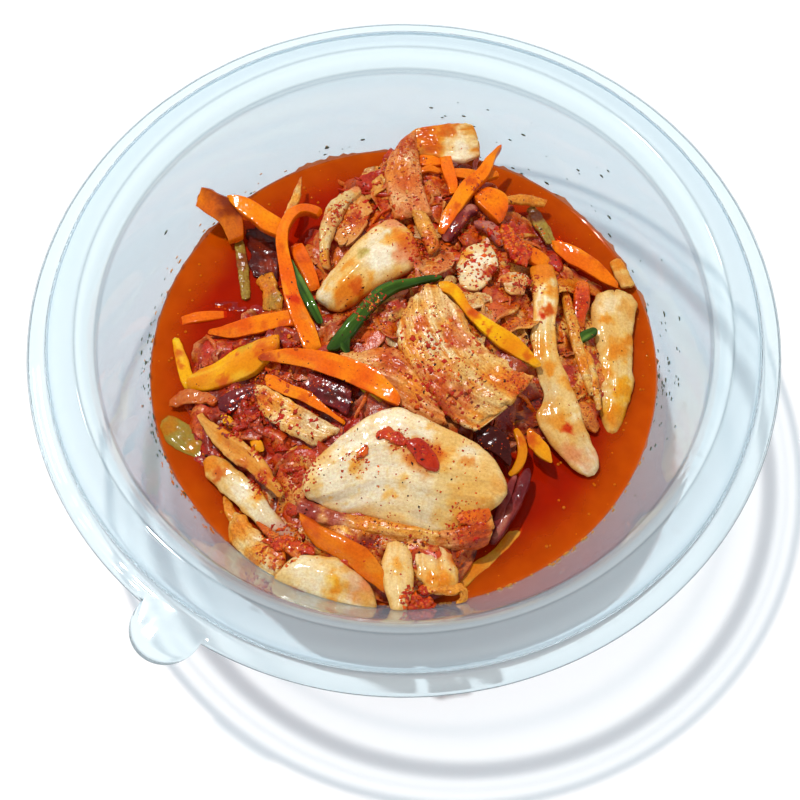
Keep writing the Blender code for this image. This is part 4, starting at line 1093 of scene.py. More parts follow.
        ((-7.5, 36, 32.2), (-7, 31, 32.6), (-9.5, 26, 32.8)), camber=0.1, ragged=2.2, wash=("pink", 0.3),
        blots=((-10.5, 30.5, 1.8, "brick", 0.8),)),
    "onion_purple": strip_of(
        "onion", 3.4, 2.2, ((9, 25, 32.6, 0.7), (9.6, 27, 33.6, 1), (11.6, 29.5, 34.2, 1), (13.5, 32, 34, 0.9),
                            (16, 33, 33.2, 0.6)), ragged=0.3),
    "onion_purple_low": strip_of(
        "onion", 2.6, 1.6, ((15, 29.3, 33.6, 0.5), (18, 28, 34.2, 1), (19.5, 26, 34.2, 1), (21, 23.6, 33.6, 0.7)),
        ragged=0.3, wash=("lilac", 0.6)),
    "onion_front_right": strip_of(
        "onion", 2.6, 2.0, ((25, -25.5, 29.4, 0.5), (24, -28, 30, 1), (22.5, -32, 30, 1), (20.6, -35.5, 29.8, 1),
                            (18.6, -39, 29.2, 0.9), (17, -41, 28, 0.5)), ragged=0.3),
    "onion_front_left": strip_of(
        "onion", 2.2, 1.8, ((22.3, -27, 29.4, 0.5), (20.5, -31, 29.8, 1), (19, -35, 29.8, 1), (18, -38, 29.2, 0.8),
                            (17.2, -40.5, 28.4, 0.4)), ragged=0.3),
    "onion_left_slice": slab_of(
        "onion", 1.0, ((-38, -9.6, 29), (-35, -8.3, 29.8), (-32.5, -7.5, 30.2), (-29.6, -7, 30.4)),
        ((-38, -12, 28.4), (-35.5, -13, 29), (-33, -11.5, 29.4), (-31.3, -10, 30)), ragged=0.5),
    "onion_left_fold": strip_of(
        "film", 3.2, 0.9, ((-48.4, -10.4, 26.4, 0.6), (-45.5, -9, 27.6, 1), (-42, -9.3, 28.4, 1),
                           (-38, -10.5, 28.8, 0.7)), ragged=1.4, wash=("brick", 0.45)),
    "onion_dark_hole": slab_of(
        "onion", 0.9, ((-20, -5.8, 33.4), (-15, -7.6, 34), (-10, -10.2, 34.4)),
        ((-20, -10.4, 32.4), (-15.5, -13, 33), (-11, -15.4, 33.4)), camber=0.1, ragged=1.6,
        blots=((-14, -11, 1.6, "dark", 0.6), (-17, -8, 1.6, "red", 0.6))),
    "carrot_stub": slab_of(
        "carrot", 3.0,
        ((-44, 37.3, 35), (-41.5, 36.6, 35), (-39.5, 35.8, 34), (-36.6, 35.4, 32.6), (-35, 33.4, 31.2),
         (-34.5, 31, 29.2), (-34.5, 28.4, 27.4)),
        ((-45, 34, 33), (-42.5, 32.5, 32), (-39.9, 31.3, 30.6), (-38.5, 29.6, 29), (-37.5, 27.4, 27)),
        ragged=0.2, wash=("amber", 0.35),
        blots=((-37, 34.5, 3.0, "brown", 0.75), (-42, 36.5, 1.6, "brown", 0.5), (-43.5, 34.8, 1.8, "carrot", 0.7))),
    "carrot_upper_left": slab_of(
        "carrot", 2.2, ((-38, 36, 33.6), (-35, 35.8, 33.6), (-31.5, 34.3, 33.2), (-28, 32, 32.6), (-25.5, 30.6, 32.2)),
        ((-37.5, 35, 33.2), (-35.5, 32.6, 33), (-32, 30, 32.6), (-29.5, 28, 32.2), (-26, 26.6, 31.8))),
    "carrot_loop": strip_of(
        "carrot", 2.5, 2.2,
        ((-17.6, 33, 31, 0.8), (-20, 33.6, 32, 0.85), (-22.5, 32.6, 33.4, 0.85), (-24.4, 30, 34.4, 0.9),
         (-25.5, 26.5, 35, 0.95), (-25.5, 22.5, 35.2, 1), (-24.6, 18, 35.2, 1.15), (-23.5, 12.5, 35, 1.3),
         (-22, 8, 34.6, 1.45), (-20, 3.5, 34, 1.5), (-18.3, -1.5, 33.4, 1.5)),
        blots=((-22.5, 10, 1.2, "paste", 0.7), (-21, 6.5, 0.9, "pink", 0.6), (-25.5, 22, 0.8, "rust", 0.5))),
    "carrot_behind": strip_of(
        "carrot", 2.6, 2.0, ((-23, 25.5, 31, 1), (-21.5, 21.5, 32, 1.2), (-20, 18, 32, 1.1), (-18.5, 14, 31.6, 0.8)),
        wash=("carrot_deep", 0.5), blots=((-21, 21, 1.4, "rust", 0.7),)),
    "carrot_left_low": strip_of(
        "carrot", 2.4, 1.8, ((-47.4, 10, LEVEL - 0.3, 0.8), (-44, 10.8, LEVEL + 0.1, 1), (-41, 11.2, LEVEL, 0.9), (-36, 12, LEVEL - 1, 0.6)),
        wash=("carrot_deep", 0.5)),
    "carrot_left_high": slab_of(
        "carrot", 2.0, ((-41, 6.6, 27.6), (-37.5, 7.2, 28.6), (-32, 8.2, 30.4), (-26.5, 8.8, 31.8), (-22.6, 8.8, 32.4)),
        ((-41, 5.8, 27.3), (-36, 4.4, 28), (-30.5, 4.6, 29.8), (-25, 5.5, 31.2), (-22.6, 5.6, 31.8)),
        blots=((-25, 6, 1.0, "rust", 0.7), (-29, 6, 0.9, "rust", 0.5))),
    "carrot_long": slab_of(
        "carrot", 1.9,
        ((-30, -2.4, 33.2), (-27.5, -1.8, 34.4), (-22.5, -1.8, 36), (-17, -3, 37.2), (-11.5, -5, 38.2), (-6, -7.8, 38.8),
         (-3, -10.5, 38.8), (-0.5, -13.8, 38.2)),
        ((-29.6, -3.2, 32.8), (-26.5, -3.8, 33.4), (-20.5, -5.7, 35), (-15, -8.2, 36.2), (-11, -10.2, 37),
         (-7.5, -12.2, 37.6), (-4, -14.3, 38), (-1, -15.6, 38)),
        blots=((-27, -3, 1.6, "rust", 0.8), (-29, -2.8, 1.2, "brick", 0.8), (-10, -10, 0.7, "rust", 0.5))),
    "carrot_thin": slab_of(
        "carrot", 1.6, ((-28.2, -6.2, 32.6), (-26, -6.8, 33.2), (-22.5, -9.2, 34), (-18.5, -11.3, 34.4),
                        (-15, -14.6, 34.2), (-11.6, -17.2, 33.6)),
        ((-28.2, -8.3, 32.2), (-24.5, -10.8, 32.8), (-21, -12.3, 33.4), (-18, -14.2, 33.8), (-15, -15.8, 33.8),
         (-11.8, -17.8, 33.4)), blots=((-20, -12, 1.0, "rust", 0.6),)),
    "carrot_back": strip_of(
        "carrot", 3.3, 2.0,
        ((21, 47.5, 35.4, 0.12), (19, 44.5, 35.4, 0.5), (17, 40.5, 35.6, 0.85), (14, 37.3, 35.4, 1),
         (11.5, 33.5, 35, 0.95), (9.2, 29.5, 34.4, 0.8), (7.8, 26.5, 33.8, 0.5)),
        blots=((14.5, 38, 1.0, "rust", 0.8), (11, 32, 0.9, "rust", 0.6), (20, 46, 1.4, "pink", 0.6))),
    "carrot_cross_a": strip_of(
        "carrot", 2.6, 1.8, ((9, 46.6, 33.4, 0.9), (9.5, 43, 34, 1), (10.4, 39, 34.4, 0.9), (10.6, 36, 34.4, 0.6))),
    "carrot_cross_b": strip_of(
        "carrot", 2.6, 1.6, ((10, 42, 33.2, 0.8), (13.5, 41.2, 34, 1), (16.5, 40.6, 34, 1), (20.5, 41.6, 33.4, 0.6)),
        wash=("amber", 0.3)),
    "carrot_under_top": strip_of(
        "carrot", 3.0, 1.8, ((1.6, 45.8, 32.6, 1), (5.5, 45.2, 33.2, 1.05), (9.4, 45.6, 33, 1))),
    "carrot_wedge": slab_of(
        "carrot", 2.2, ((15, 36.5, 33.8), (15.5, 34.3, 34), (18.3, 31.3, 33.8), (20.5, 29, 33.2)),
        ((17.5, 38, 33.8), (20.5, 37, 33.8), (22.3, 35.4, 33.4), (22.2, 32, 33)),
        blots=((19, 35, 0.9, "rust", 0.5),)),
    "carrot_right": slab_of(
        "carrot", 2.2, ((31.2, 27.5, 29), (35, 26.3, 29.8), (39, 23.8, 30), (42.5, 20.8, 29.8), (45.4, 17.2, 29)),
        ((32, 25.3, 28.6), (35, 22.2, 28.8), (38.5, 20, 28.8), (42.5, 17.3, 28.6), (45.4, 16, 28.4)),
        blots=((43, 20.5, 1.0, "rust", 0.7), (40, 23, 1.0, "rust", 0.5))),
    "carrot_orange_end": strip_of(
        "carrot", 3.0, 1.8, ((23.5, 25, 33, 0.9), (25.5, 23, 33, 1), (28, 21.4, 32.6, 1.15), (30.4, 20, 32, 0.9)),
        wash=("stain", 0.4)),
    "carrot_corner": slab_of(
        "carrot", 2.0,
        ((-21, -35.6, 31.6), (-16.5, -38.8, 32.6), (-11, -41.8, 33.2), (-7.3, -43.4, 33), (-4.6, -46.6, 32.2),
         (-2.8, -51, 31)),
        ((-19.5, -39.5, 30.6), (-16.5, -43, 31.2), (-12.5, -45.2, 31.6), (-9.5, -47.6, 31.4), (-6, -50.2, 31),
         (-3.8, -51.8, 30.6)),
        camber=0.4, ragged=0.5, wash=("amber", 0.5),
        blots=((-18, -38, 2.2, "rust", 0.6), (-13, -41, 2.4, "stain", 0.6), (-6, -47, 2, "tan", 0.5))),
    "carrot_scrap_back": strip_of(
        "carrot", 1.6, 1.0, ((3, 41.6, 33.6, 0.5), (5.5, 42.6, 34, 1), (8, 41.8, 33.8, 0.6)), wash=("amber", 0.4)),
    "pepper_yellow_left": slab_of(
        "yellow", 2.4,
        ((-45.2, -3.8, 26.6), (-43, -3.3, 27.8), (-39, -1.8, 29.4), (-35, 0.2, 31), (-32, 1.2, 32), (-28.5, 2.2, 32.8),
         (-25.6, 2.8, 33.4)),
        ((-45.2, -6.5, 26.2), (-41.5, -7.5, 27.4), (-38, -7.3, 28.8), (-34, -6.3, 30.2), (-30.4, -5, 31.4),
         (-28, -2.6, 32.4), (-25.6, -0.5, 33)),
        camber=0.5,
        blots=((-28, 0, 2.2, "rust", 0.8), (-27, 1.5, 1.8, "yellow_deep", 0.9), (-37, -6.5, 1.2, "rust", 0.7),
               (-33, 0.6, 1.4, "olive", 0.5))),
    "yellow_left_limb": strip_of(
        "yellow", 2.6, 2.0, ((-48.2, 6, 25.3, 0.6), (-46.8, 1.8, 26, 0.9), (-45.6, -2.5, 26.6, 1.1),
                             (-44, -6, 26.6, 1.1)),
        blots=((-46.6, -1, 0.9, "rust", 0.7), (-47, 1.5, 0.8, "rust", 0.6))),
    "pepper_yellow_middle": slab_of(
        "yellow", 2.0,
        ((7, 12, 38.8), (9.5, 12, 38.6), (12, 10, 38.2), (13.6, 7, 37.8), (16, 5, 37.6), (19, 3, 37.2),
         (22.5, 1, 36.4), (25.5, -2, 35.6), (28, -5, 34.6)),
        ((7.3, 10, 38.4), (9.3, 9.3, 38.2), (11, 7.3, 37.8), (13.3, 4.3, 37.2), (16, 1.3, 36.8), (19.5, -1.7, 36),
         (23, -3.7, 35.2), (27, -5.6, 34.4)),
        blots=((14, 5.5, 1.5, "rust", 0.85), (10, 10.8, 1.0, "yellow_deep", 0.6), (25, -3.5, 0.8, "rust", 0.6))),
    "yellow_ring": strip_of(
        "yellow", 2.0, 1.4, ((22.5, -17.5, 31.2, 0.6), (23.6, -20.5, 31.2, 1), (23.7, -23, 30.8, 1),
                             (22.6, -25.5, 30.2, 0.9), (21, -27, 29.6, 0.5)), wash=("amber", 0.5),
        blots=((23.6, -20, 1.0, "rust", 0.7),)),
    # purple onion, with a dark wash that is painted shade of the hollow it lies in
    "onion_cavity": slab_of(
        "onion", 1.2, ((14.4, -17.2, 33.4), (18, -18, 33.6), (21, -20, 33)),
        ((14.6, -21.6, 32.2), (18, -23.6, 32.2), (21.4, -26, 31.2)), ragged=0.4, wash=("dark", 0.75)),
    "yellow_wedge": slab_of(
        "yellow", 1.6, ((25, -18, 32.2), (27, -19.4, 32), (29, -21.4, 31.4), (29.6, -24.3, 30.6)),
        ((24.5, -19.5, 31.6), (25, -21.5, 31.2), (27, -23.6, 30.8), (29.2, -24.7, 30.4)), wash=("stain", 0.45),
        ragged=0.6, blots=((25.4, -20, 1.6, "rust", 0.8),)),
    "yellow_sunk": slab_of(
        "yellow", 1.4,
        ((24, -35.5, LEVEL - 1), (23.5, -37.5, LEVEL - 0.4), (21, -40.5, LEVEL - 0.3), (17, -44.5, LEVEL - 0.3),
         (14, -47, LEVEL), (11, -50, LEVEL + 0.4)),
        ((23, -34.5, LEVEL - 1), (20.5, -37.5, LEVEL - 0.4), (17, -41.5, LEVEL - 0.3), (14, -43.5, LEVEL - 0.3),
         (11, -46.3, LEVEL), (9.8, -49, LEVEL + 0.4)),
        wash=("tan", 0.8), blots=((20, -39.5, 2.2, "stain", 0.8), (14, -46, 2.4, "stain", 0.8))),
    "yellow_bit_left": strip_of(
        "yellow", 2.0, 1.4, ((-37, -13.6, 29.2, 0.5), (-35.8, -15, 29.8, 1), (-34.4, -16.4, 29.6, 0.6))),
    "yellow_bit_middle": strip_of(
        "yellow", 2.2, 1.6, ((-30.6, -19.6, 30.6, 0.6), (-29.4, -21, 31.4, 1), (-28.4, -22.4, 31, 0.6)),
        wash=("stain", 0.4)),
    "yellow_under_carrot": strip_of(
        "yellow", 2.2, 1.4, ((-9.5, -8, 34, 0.6), (-7, -10.4, 35, 1), (-4, -13, 35.4, 0.9)), wash=("olive", 0.4)),
    "scallion_long": slab_of(
        "scallion", 1.7,
        ((8, 13.5, 38.6), (5.5, 13.5, 39), (2, 12.6, 39.4), (-1.5, 12, 39.6), (-5, 11, 39.4), (-7.5, 8.6, 39),
         (-10, 5.6, 38.4), (-12.5, 2.6, 37.8), (-14.6, 0, 37), (-16, -2.3, 36.2)),
        ((7.5, 12.6, 38.6), (5.5, 12, 38.8), (2, 10.7, 39), (-1, 9.7, 39.2), (-3.5, 8, 39), (-5.5, 6, 38.6),
         (-8, 3, 38), (-10.3, 0, 37.4), (-12.2, -1.8, 36.8), (-14, -3, 36.2)),
        camber=0.3, ragged=0.3),
    "scallion_fork": strip_of(
        "scallion", 2.0, 1.3, ((-11.6, 0.4, 37.4, 1), (-12, -1.6, 37, 1), (-11.2, -3.4, 36.4, 0.6)), ragged=0.3),
    "scallion_short": strip_of(
        "scallion", 2.1, 1.6, ((-24, 20.5, 33, 0.5), (-22.5, 16, 34.4, 1), (-20.5, 11.5, 35.2, 1.15),
                               (-18.5, 7.5, 35, 1.05), (-17, 4.6, 34.2, 0.7))),
    "scallion_bit_right": strip_of(
        "scallion", 2.2, 1.4, ((35.6, 2.6, 29.4, 0.6), (37.5, 4, 30.2, 1), (40.2, 5.5, 30, 0.8)), ragged=0.3),
    "olive_sunk": strip_of(
        "rib", 4.8, 1.2, ((-50, -13, LEVEL - 0.6, 0.7), (-47, -15.5, LEVEL, 1.1), (-44, -18, LEVEL, 1.1),
                           (-40.6, -20.4, LEVEL, 0.8)), ragged=0.8, wash=("olive", 0.9),
        blots=((-48.5, -14, 2.2, "amber", 0.6), (-43, -18.5, 2, "stain", 0.5))),
    "pepper_red_right": strip_of(
        "red_pepper", 3.2, 2.2, ((38, 17.5, 29.2, 0.9), (37.5, 13.5, 29.8, 1.1), (37, 10, 29.6, 1),
                                 (36.6, 6.4, 28.8, 0.8))),
    "red_pepper_hero": slab_of(
        "red_pepper", 0.9,
        ((1.0, -23.4, 39.4), (2.8, -23.2, 39.6), (4.8, -24.6, 39.4), (6.0, -26.6, 39), (6.9, -28.6, 38.4)),
        ((0.4, -24.6, 39.2), (1.6, -26.4, 39.1), (2.6, -28.2, 38.7), (4.2, -29.4, 38.3), (6.2, -29.8, 38)),
        camber=0.3, ragged=0.8, wash=("red", 0.75)),
    "paste_trail_hero": strip_of(
        "paste", 2.6, 0.9, ((-5.4, -22, 38.7, 0.4), (-3.4, -22.2, 39.1, 0.9), (-1.6, -23, 39.3, 1), (0.6, -24, 39.4, 0.7)),
        ragged=1.4),
    "paste_scrap_hero": strip_of(
        "paste", 1.8, 0.8, ((-9.2, -26.6, 37.9, 0.4), (-8.2, -25.6, 38.1, 1), (-7.4, -24.2, 38.3, 0.6)), ragged=1.2,
        wash=("stain", 0.7)),
    "paste_lump_front": strip_of(
        "paste", 5.4, 1.8, ((-1.8, -54, 31.4, 0.5), (0.6, -54.6, 31.8, 1), (3.4, -55, 31.6, 1), (5.4, -54.4, 31, 0.6)),
        ragged=1.2, wash=("paste", 0.3)),
    "paste_smear_left": strip_of(
        "paste", 3.2, 1.2, ((-27, -41, 30, 0.4), (-24, -41.4, 30.8, 1), (-20.5, -42.6, 31.2, 0.9), (-18, -43.8, 31.6, 0.4)),
        ragged=1.4, wash=("rust", 0.4)),
    "paste_smear_back": strip_of(
        "paste", 3.6, 1.2, ((21, 28, 34, 0.4), (22.4, 25, 34.6, 1), (24, 21.6, 34.4, 1), (25.4, 18.6, 34, 0.5)),
        ragged=1.4, wash=("paste", 0.3)),
    "red_pepper_corner": slab_of(
        "red_pepper", 0.8, ((10.5, -36.6, 34), (13.5, -35.8, 34.2), (17, -36.4, 33.8)),
        ((9.4, -38.4, 33.6), (13, -39.2, 33.4), (17, -38.2, 33.2)), ragged=2.4, wash=("stain", 0.7)),
    "tan_shred_right_a": strip_of(
        "film", 2.4, 1.4, ((34, 15, 29.6, 0.7), (35, 8, 30.2, 1), (36, 2, 30.2, 1), (37.6, -5, 29.4, 0.8),
                           (39, -9, 28.6, 0.6))),
    "tan_shred_right_b": strip_of(
        "film", 2.2, 1.4, ((36.6, 3, 29.2, 0.7), (38.4, -2, 29.4, 1), (39.4, -7.5, 28.8, 0.8), (40, -12, 28, 0.5))),
    "pale_sliver": strip_of(
        "film", 2.0, 1.2, ((-22.3, 43, 30, 0.15), (-22.8, 39.5, 31, 0.7), (-23.5, 35.5, 32, 1), (-25, 32, 32.2, 0.7)),
        wash=("cream", 0.3)),
    "olive_shred_back": strip_of(
        "film", 2.8, 1.0, ((27.6, 36, 28.6, 0.7), (29.4, 32, 29.2, 1), (31.6, 27, 29, 0.8)), ragged=0.8,
        wash=("olive", 0.85), blots=((29, 34, 2, "dark", 0.5),)),
    "beige_slab_back": strip_of(
        "film", 2.4, 1.4, ((21.5, 36.4, 31, 0.7), (26, 37, 30.6, 1), (31, 36.6, 29.6, 0.8)), wash=("stain", 0.5)),
}

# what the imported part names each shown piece, and the slot it fills
PIECES = {
    "cabbage_stems": (("stem", "rib"), "cabbage_stem"),
    "cabbage_leaves": (("leaf", "film"), "cabbage_leaf"),
    "carrot_strips": (("carrot",), "carrot"),
    "yellow_pepper_strips": (("yellow",), "pepper_yellow"),
    "red_pepper_bits": (("red_pepper", "paste"), "pepper_red"),
    "scallion_strips": (("scallion",), "scallion"),
    "onion_slices": (("onion",), "onion"),
}


def add_cut(soup, cut, seed):
    look, bevel, end, taper, spacing = KINDS[cut["kind"]]
    slab = Slab(*cut["edges"], cut["thickness"], bevel, cut["camber"], end, taper, spacing, cut["ragged"], seed)
    shade = look(slab, seed)
    if cut["wash"]:
        shade = dye(shade, COLOUR[cut["wash"][0]], cut["wash"][1])
    for index, spot in enumerate(cut["blots"]):
        shade = blot(shade, slab.grid, spot, seed + index)
    slab.into(soup, shade)


# ---------------------------------------------------------------- heap
def heap_radius(angles):
    """Radius of the heap at the brine's level, a smooth closed curve through HEAP_OUTLINE."""
    outline = np.array(HEAP_OUTLINE, float)
    places = (angles % math.tau) / math.tau * len(outline)
    index = places.astype(int)
    share = places - index
    a, b, c, d = (outline[(index + k) % len(outline)] for k in (-1, 0, 1, 2))
    return 0.5 * (2 * b + (c - a) * share + (2 * a - 5 * b + 4 * c - d) * share ** 2
                  + (3 * b - a - 3 * c + d) * share ** 3)


def heap_top(x, y):
    """Height of the heap's general surface, and how far out from its middle a place is (1 at the rim)."""
    share = np.hypot(x, y) / heap_radius(np.arctan2(y, x))
    height = LEVEL + 0.9 + 8.6 * np.clip(1 - share ** 2, 0, 1) ** 0.7
    for mound_x, mound_y, rise, spread in MOUNDS:
        height = height + rise * np.exp(-((x - mound_x) ** 2 + (y - mound_y) ** 2) / spread ** 2)
    return height - 14 * np.clip(share - 1, 0, 1), share


# regions of the heap: x, y, spread and the colours found there, the commonest first
REGIONS = (
    (-30, -12, 13, ("rust", "brick", "plum", "red", "pink", "stain", "purple", "tan")),
    (-8, -8, 11, ("plum", "brick", "red", "purple", "pink", "rust", "brown", "stain")),
    (-2, 42, 12, ("pink", "rust", "stain", "brick", "beige", "red", "tan", "plum")),
    (18, 24, 12, ("paste", "rust", "stain", "pink", "red", "beige", "plum", "cream")),
    (-16, 20, 10, ("rust", "brick", "pink", "stain", "red", "beige", "tan", "brown")),
    (34, 6, 12, ("tan", "stain", "beige", "brick", "rust", "pink", "soaked", "amber")),
    (24, -16, 9, ("purple", "brick", "stain", "brown", "tan", "plum", "rust", "amber")),
    (-8, -46, 16, ("stain", "rust", "soaked", "tan", "red", "amber", "beige", "brick")),
    (10, -38, 8, ("brick", "rust", "pink", "purple", "stain", "red", "tan", "brown")),
    (2, 8, 12, ("pearl", "tan", "stain", "brick", "beige", "red", "rust", "pink")),
    (-34, 26, 9, ("amber", "olive", "brick", "rust", "tan", "brown", "plum", "stain")),
    (-28, -42, 9, ("soaked", "stain", "cream", "amber", "rust", "beige", "tan", "yellow_deep")),
)


def heap_tint(x, y, pick):
    """Colour of a small bit of the heap: pick runs from 0, the commonest there, to 1."""
    x, y, pick = np.broadcast_arrays(np.asarray(x, float), y, pick)
    table = np.array([[COLOUR[name] for name in names] for _, _, _, names in REGIONS])
    weights = np.stack([np.exp(-((x - rx) ** 2 + (y - ry) ** 2) / spread ** 2) for rx, ry, spread, _ in REGIONS], -1)
    weights = weights + 1e-4
    weights = weights / weights.sum(-1, keepdims=True)
    place = np.clip(pick, 0, 0.999) ** 1.35 * table.shape[1]
    index = place.astype(int)
    colours = table[:, index]
    share = weights ** 3 / (weights ** 3).sum(-1, keepdims=True)
    return np.clip(np.einsum("...r,r...c->...c", share, colours), 0, 1) ** (0.97, 1.1, 1.2)


def build_core():
    """The matted mass under the loose pieces: everything finer than a grain of rice is its relief."""
    turns, rings = 320, 130
    share = np.concatenate((np.linspace(0.001, 1.04, rings), (1.04,)))
    angles = np.linspace(0, math.tau, turns, endpoint=False)
    reach = share * heap_radius(angles)[:, None]
    x, y = np.cos(angles)[:, None] * reach, np.sin(angles)[:, None] * reach
    top, _ = heap_top(x, y)
    flat = np.stack((x, y, x * 0), -1)
    fold = 1 - 2 * np.abs(noise(flat, 3.2, 55))
    relief = 1.1 * rough_noise(flat, 7, 51, 4) + 0.7 * fold + 0.25 * noise(flat, 0.9, 57)
    z = top - 1.9 + relief
    z[:, -1] = LEVEL - 6
    points = np.stack((x, y, z), -1)
    shade = heap_tint(x, y, 0.4 + 0.5 * rough_noise(flat, 2.6, 61))
    # painted shade: the low places of the relief are darkened to brown, and the deepest to dark red, for the shade that
    # falls in them
    shade = dye(shade, COLOUR["brown"], smoothstep(-relief, -0.1, 0.9))
    shade = dye(shade, COLOUR["blood"], 0.8 * smoothstep(-relief, 0.5, 1.3))
    soup = Soup()
    rows = points.shape[1]
    quads = loop_faces(turns, rows)
    keep = quads.reshape(-1, rows, 4)[:, :-1].reshape(-1, 4)
    seam = closing_faces(turns, rows)[:-1]
    first = np.arange(turns) * rows
    soup.add(points, [keep, seam, first[None, :], (first + rows - 1)[None, ::-1]], shade)
    return soup


def shred_path(x, y, turn, length, lift, curl, cuts):
    """A short curved path that lies on the heap, tucked under the cuts it meets."""
    along = np.linspace(-0.5, 0.5, 5)
    bend = curl * (along ** 2 - 0.1)
    px = x + length * (along * math.cos(turn) - bend * math.sin(turn))
    py = y + length * (along * math.sin(turn) + bend * math.cos(turn))
    pz = heap_top(px, py)[0] + lift + rng.normal(0, 0.2, 5)
    for index, place in enumerate(zip(px, py)):
        for aside in ((0, 0), (2, 0), (-2, 0), (0, 2), (0, -2)):
            over = Vector((place[0] + aside[0], place[1] + aside[1], 80))
            hit = cuts.ray_cast(over, Vector((0, 0, -1)))[0]
            if hit is not None:
                pz[index] = min(pz[index], hit.z - 2.8)
    return np.column_stack((px, py, pz, (0.45, 0.9, 1, 0.9, 0.45)))


def heap_places(count, cuts, rim=0.97):
    """Places strewn over the heap where no cut hides it."""
    places = []
    while len(places) < count:
        x, y = rng.uniform(-51, 51, 2)
        share = heap_top(x, y)[1]
        hidden = cuts.ray_cast(Vector((x, y, 80)), Vector((0, 0, -1)))[0]
        # the hollow with the darkened onion slice is left uncovered
        open_place = math.hypot(x - 18, y + 22) < 5
        if share < rim and math.hypot(x, y) < 49 and hidden is None and not open_place:
            places.append((x, y))
    return places


def build_scraps(count, cuts):
    """Limp, creased scraps of leaf and onion lying over one another."""
    soup = Soup()
    for index, (x, y) in enumerate(heap_places(count, cuts)):
        length = rng.uniform(6, 14)
        width = rng.uniform(3, 7.5)
        path = shred_path(x, y, rng.uniform(0, math.tau), length, rng.uniform(-0.6, 0.9), rng.uniform(-0.8, 0.8), cuts)
        edge_a, edge_b = strip_edges(path, width, rng.uniform(-22, 22))
        slab = Slab(edge_a, edge_b, rng.uniform(0.4, 0.7), 0, rng.uniform(-0.9, 0.5), 0.4, 0.2, 0.8,
                    rng.uniform(1.3, 2.6), index)
        places = slab.sheet()
        crease = 1 - 2 * np.abs(noise(places * (0.3, 1, 0), 1.8, index))
        slab.bend(0.9 * rough_noise(slab.grid, 2.6, index + 1) + 0.3 * crease)
        ribs = noise(places * (0.12, 1, 0), 0.6, index + 2)
        slab.swell(0.08 * ribs)
        base = heap_tint(x, y, rng.uniform(0, 1))
        other = heap_tint(x, y, rng.uniform(0, 1))
        shade = dye(base, other, 0.5 + 0.8 * rough_noise(places, 2.2, index + 3))
        shade = dye(shade, COLOUR["soaked"], 0.35 * smoothstep(ribs + 0.5 * crease, 0.4, 1.2))
        # painted shade: brown in the low folds of each scrap
        shade = dye(shade, COLOUR["brown"], 0.45 * smoothstep(-crease, 0.2, 0.9))
        rim = smoothstep(np.abs(slab.across) + 0.3 * noise(places, 1.2, index + 4), 0.55, 1.0)
        shade = dye(shade, COLOUR[("cream", "paste", "beige", "red")[index % 4]], 0.55 * rim)
        veins = smoothstep(noise(places * (0.3, 1, 0), 1.1, index + 5), 0.25, 0.6)
        shade = dye(shade, COLOUR[("pearl", "blood", "cream")[index % 3]], 0.5 * veins)
        slab.into(soup, shade)
    return soup


def build_strings(count, cuts):
    """Thin soaked strings of cabbage, radish and onion."""
    soup = Soup()
    for index, (x, y) in enumerate(heap_places(count, cuts, 1.0)):
        path = shred_path(x, y, rng.uniform(0, math.tau), rng.uniform(8, 18), rng.uniform(0.2, 1.2),
                          rng.uniform(-1.1, 1.1), cuts)
        edge_a, edge_b = strip_edges(path, rng.uniform(0.6, 1.3), rng.uniform(-40, 40))
        slab = Slab(edge_a, edge_b, rng.uniform(0.5, 0.8), 0, 0.1, 0.35, 0.3, 0.5, 0.5, index)
        slab.bend(0.3 * noise(slab.grid, 2.0, index))
        base = heap_tint(x, y, rng.uniform(0, 1))
        shade = dye(base, COLOUR["stain"], rng.uniform(0, 0.8))
        shade = dye(shade, COLOUR["rust"], 0.6 * smoothstep(rough_noise(slab.grid, 1.8, index + 1), 0.1, 0.5))
        slab.into(soup, shade)
    return soup


def crumb(size, flat):
    """A crumb: a six-cornered lump, flattened and uneven."""
    corners = np.array(((1, 0, 0), (0, 1, 0), (-1, 0, 0), (0, -1, 0), (0, 0, flat), (0, 0, -flat)))
    faces = np.array(((0, 1, 4), (1, 2, 4), (2, 3, 4), (3, 0, 4), (1, 0, 5), (2, 1, 5), (3, 2, 5), (0, 3, 5)))
    return corners * rng.uniform(0.6, 1.2, (6, 1)) * size, faces


